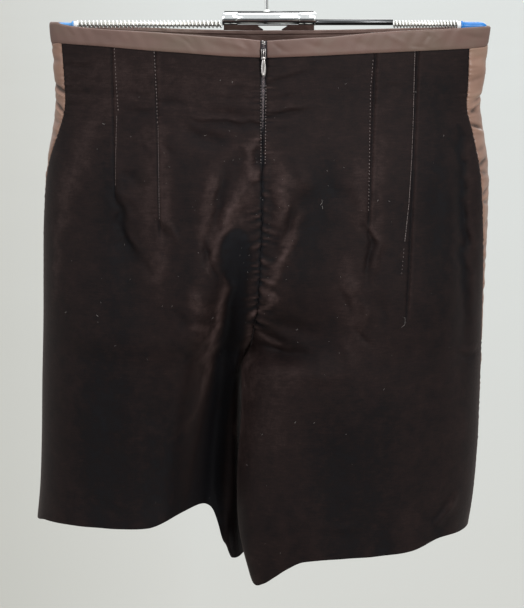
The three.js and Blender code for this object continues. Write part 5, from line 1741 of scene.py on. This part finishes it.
def lint_spots(rng):
    """Each speck's X, Z, length, slant and radius: the larger ones listed, and the others by chance, thicker
    towards the middle of the back."""
    spots = [(*on_back(px, py), length, slant, 0.12) for px, py, length, slant in FLUFF]
    while len(spots) < LINT_COUNT:
        px = rng.normal(250, 95)
        py = rng.uniform(60, 560) if rng.random() < 0.4 else rng.normal(230, 80)
        if 50 < px < 480 and 60 < py < 570:
            length, slant, radius = rng.uniform(0.3, 1.1), rng.uniform(0, 180), rng.uniform(0.07, 0.13)
            spots.append((*on_back(px, py), length, slant, radius))
    return spots


def speck(place, normal, length, slant, radius):
    """A bent bit of thread that lies on the pile."""
    a = math.radians(slant)
    direction = along_face(np.array([math.cos(a), 0, math.sin(a)]), normal)
    side = np.cross(direction, normal) * (0.22 * length)
    middle = place + normal * (radius * 0.8)
    points = [middle + direction * length * (t - 0.5) + side * math.sin(math.pi * t)
              for t in np.linspace(0, 1, 5)]
    return tube(points, np.array([0.4, 1, 0.9, 1, 0.4]) * radius, sides=5)


def lint():
    """Specks that cling to the pile."""
    parts = []
    for x, z, *looks in lint_spots(np.random.default_rng(12)):
        found = surface_point(x, z)
        if found is not None:
            parts.append(speck(*found, *looks))
    return tie(solid_piece("lint", parts, LINT), None)


# ---------- studio ----------

FLOOR_Z = -3000
FLOOR_RADIUS = 90000


def floor_material_with_painted_shade():
    """Pale, with painted shade: lighter far off and darker to the left, with a grey wedge of painted shade on
    the side of the zip, which the hanger's chrome reflects."""
    m = Nodes("floor")
    place = m.add("ShaderNodeSeparateXYZ", {"Vector": m.place})
    x, y = place.outputs["X"], place.outputs["Y"]
    reach = m.math("MAXIMUM", m.math("ADD", y, 2.0), 1.0)
    # painted light falloff: darker near the garment, lighter far off
    near = m.math("MINIMUM", m.math("DIVIDE", 3.07, reach), 0.42)
    # painted shade to the left
    left = m.math("MINIMUM", m.math("ADD", m.math("DIVIDE", x, reach), 0.03), 0.0)
    left = m.math("MAXIMUM", left, -0.1)
    value = m.math("SUBTRACT", 0.98, m.math("MULTIPLY", near, 0.75))
    value = m.math("ADD", value, m.math("MULTIPLY", left, 2.4))
    # a wedge of painted shade on the side of the zip, fading out far off
    beside = m.math("MULTIPLY", m.math("ABSOLUTE", x), 1.2)
    painted_shade_wedge = m.math("DIVIDE", m.math("SUBTRACT", m.math("SUBTRACT", -2.0, y), beside), 5.0)
    far = m.math("DIVIDE", m.math("ADD", y, 75.0), 45.0)
    painted_shade_wedge = m.math("MINIMUM", m.math("MINIMUM", painted_shade_wedge, far), 1.0)
    value = m.math("SUBTRACT", value, m.math("MAXIMUM", painted_shade_wedge, 0.0))
    value = m.math("ADD", value, m.spread(m.noise(0.4, 2), 0.04))
    m.link("Base Color", m.ramp(value, [
        (0.0, (0.11, 0.11, 0.115)), (0.4, (0.55, 0.535, 0.49)),
        (0.7, (0.715, 0.70, 0.665)), (0.95, (0.85, 0.86, 0.85))]))
    m.set(Roughness=0.95, Specular_IOR_Level=0.1)
    return m.material


def studio_floor():
    """A wide round floor under the garment."""
    sides = 96
    radius = FLOOR_RADIUS * MM
    rim = [(radius * math.cos(a), radius * math.sin(a), FLOOR_Z * MM)
           for a in np.linspace(0, 2 * math.pi, sides, endpoint=False)]
    mesh = bpy.data.meshes.new("floor")
    mesh.from_pydata(rim, [], [tuple(range(sides))])
    mesh.materials.append(floor_material_with_painted_shade())
    floor = bpy.data.objects.new("floor", mesh)
    bpy.context.scene.collection.objects.link(floor)


def area_light(name, place, target, size, power, colour):
    """A round soft light that faces a point."""
    data = bpy.data.lights.new(name, "AREA")
    data.shape = "DISK"
    data.size = size * MM
    data.energy = power
    data.color = colour
    light = bpy.data.objects.new(name, data)
    light.location = Vector(place) * MM
    light.rotation_euler = (Vector(target) - Vector(place)).to_track_quat("-Z", "Y").to_euler()
    bpy.context.scene.collection.objects.link(light)


def studio_light():
    """Four soft lights round the garment, and a pale sky."""
    middle = (0, 0, -330)
    area_light("key", (900, -1900, 700), middle, 900, 34, (1, 0.985, 0.96))
    area_light("fill", (-1500, -1500, 200), middle, 1200, 9, (0.97, 0.98, 1))
    area_light("top", (0, 300, 1500), middle, 1400, 22, (1, 1, 1))
    area_light("behind", (600, 1800, 500), middle, 1200, 12, (1, 0.99, 0.97))
    world = bpy.data.worlds.new("world")
    world.use_nodes = True
    background = world.node_tree.nodes["Background"]
    background.inputs["Color"].default_value = (0.955, 0.985, 0.98, 1)
    background.inputs["Strength"].default_value = 0.93
    bpy.context.scene.world = world
    bpy.context.scene.view_settings.view_transform = "Standard"


# ---------- the whole garment ----------

make_camera()
back_left = panel("velvet_back_left", LEFT, "back", "back_left")
back_right = panel("velvet_back_right", RIGHT, "back", "back_right")
front_left = panel("velvet_front_left", LEFT, "front", "front_left")
front_right = panel("velvet_front_right", RIGHT, "front", "front_right")
stripe_left = side_stripe("satin_stripe_left", LEFT, "side_stripe_left")
stripe_right = side_stripe("satin_stripe_right", RIGHT, "side_stripe_right")
band_left = back_band("satin_band_back_left", LEFT, "waistband_back_left")
band_right = back_band("satin_band_back_right", RIGHT, "waistband_back_right")
band_front = front_band("satin_band_front")
zip_tape()
zip_coils()
zip_slider()
zip_pull()
zip_stops()
hook()
swivel()
hanger_body()
hanger_seam()
hanger_lip()
coil_spring("left_coil_spring", -164.2, -38.4, 3.4, "left_spring")
coil_spring("right_coil_spring", 108.2, 166.2, 2.75, "right_spring")
arm_rod()
tip("left_rubber_tip", -166.3, -184.2, -96.3, (3.7, 2.1, 2.4), 0.6, PALE_BLUE, "left_tip")
tip("right_rubber_tip", 167.6, 189.7, -97.1, (4.6, 3.7, 3.6), 0.7, BLUE, "right_tip")
collar("left_collar", -166.6, -162.8, -96.0, 3.0)
collar("right_collar", 164.3, 167.9, -96.6, 3.5)
BACK_PIECES = [back_left, back_right]
bpy.context.view_layer.update()
dart_stitches = stitches()
fluff = lint()
studio_floor()
studio_light()

bpy.context.view_layer.update()
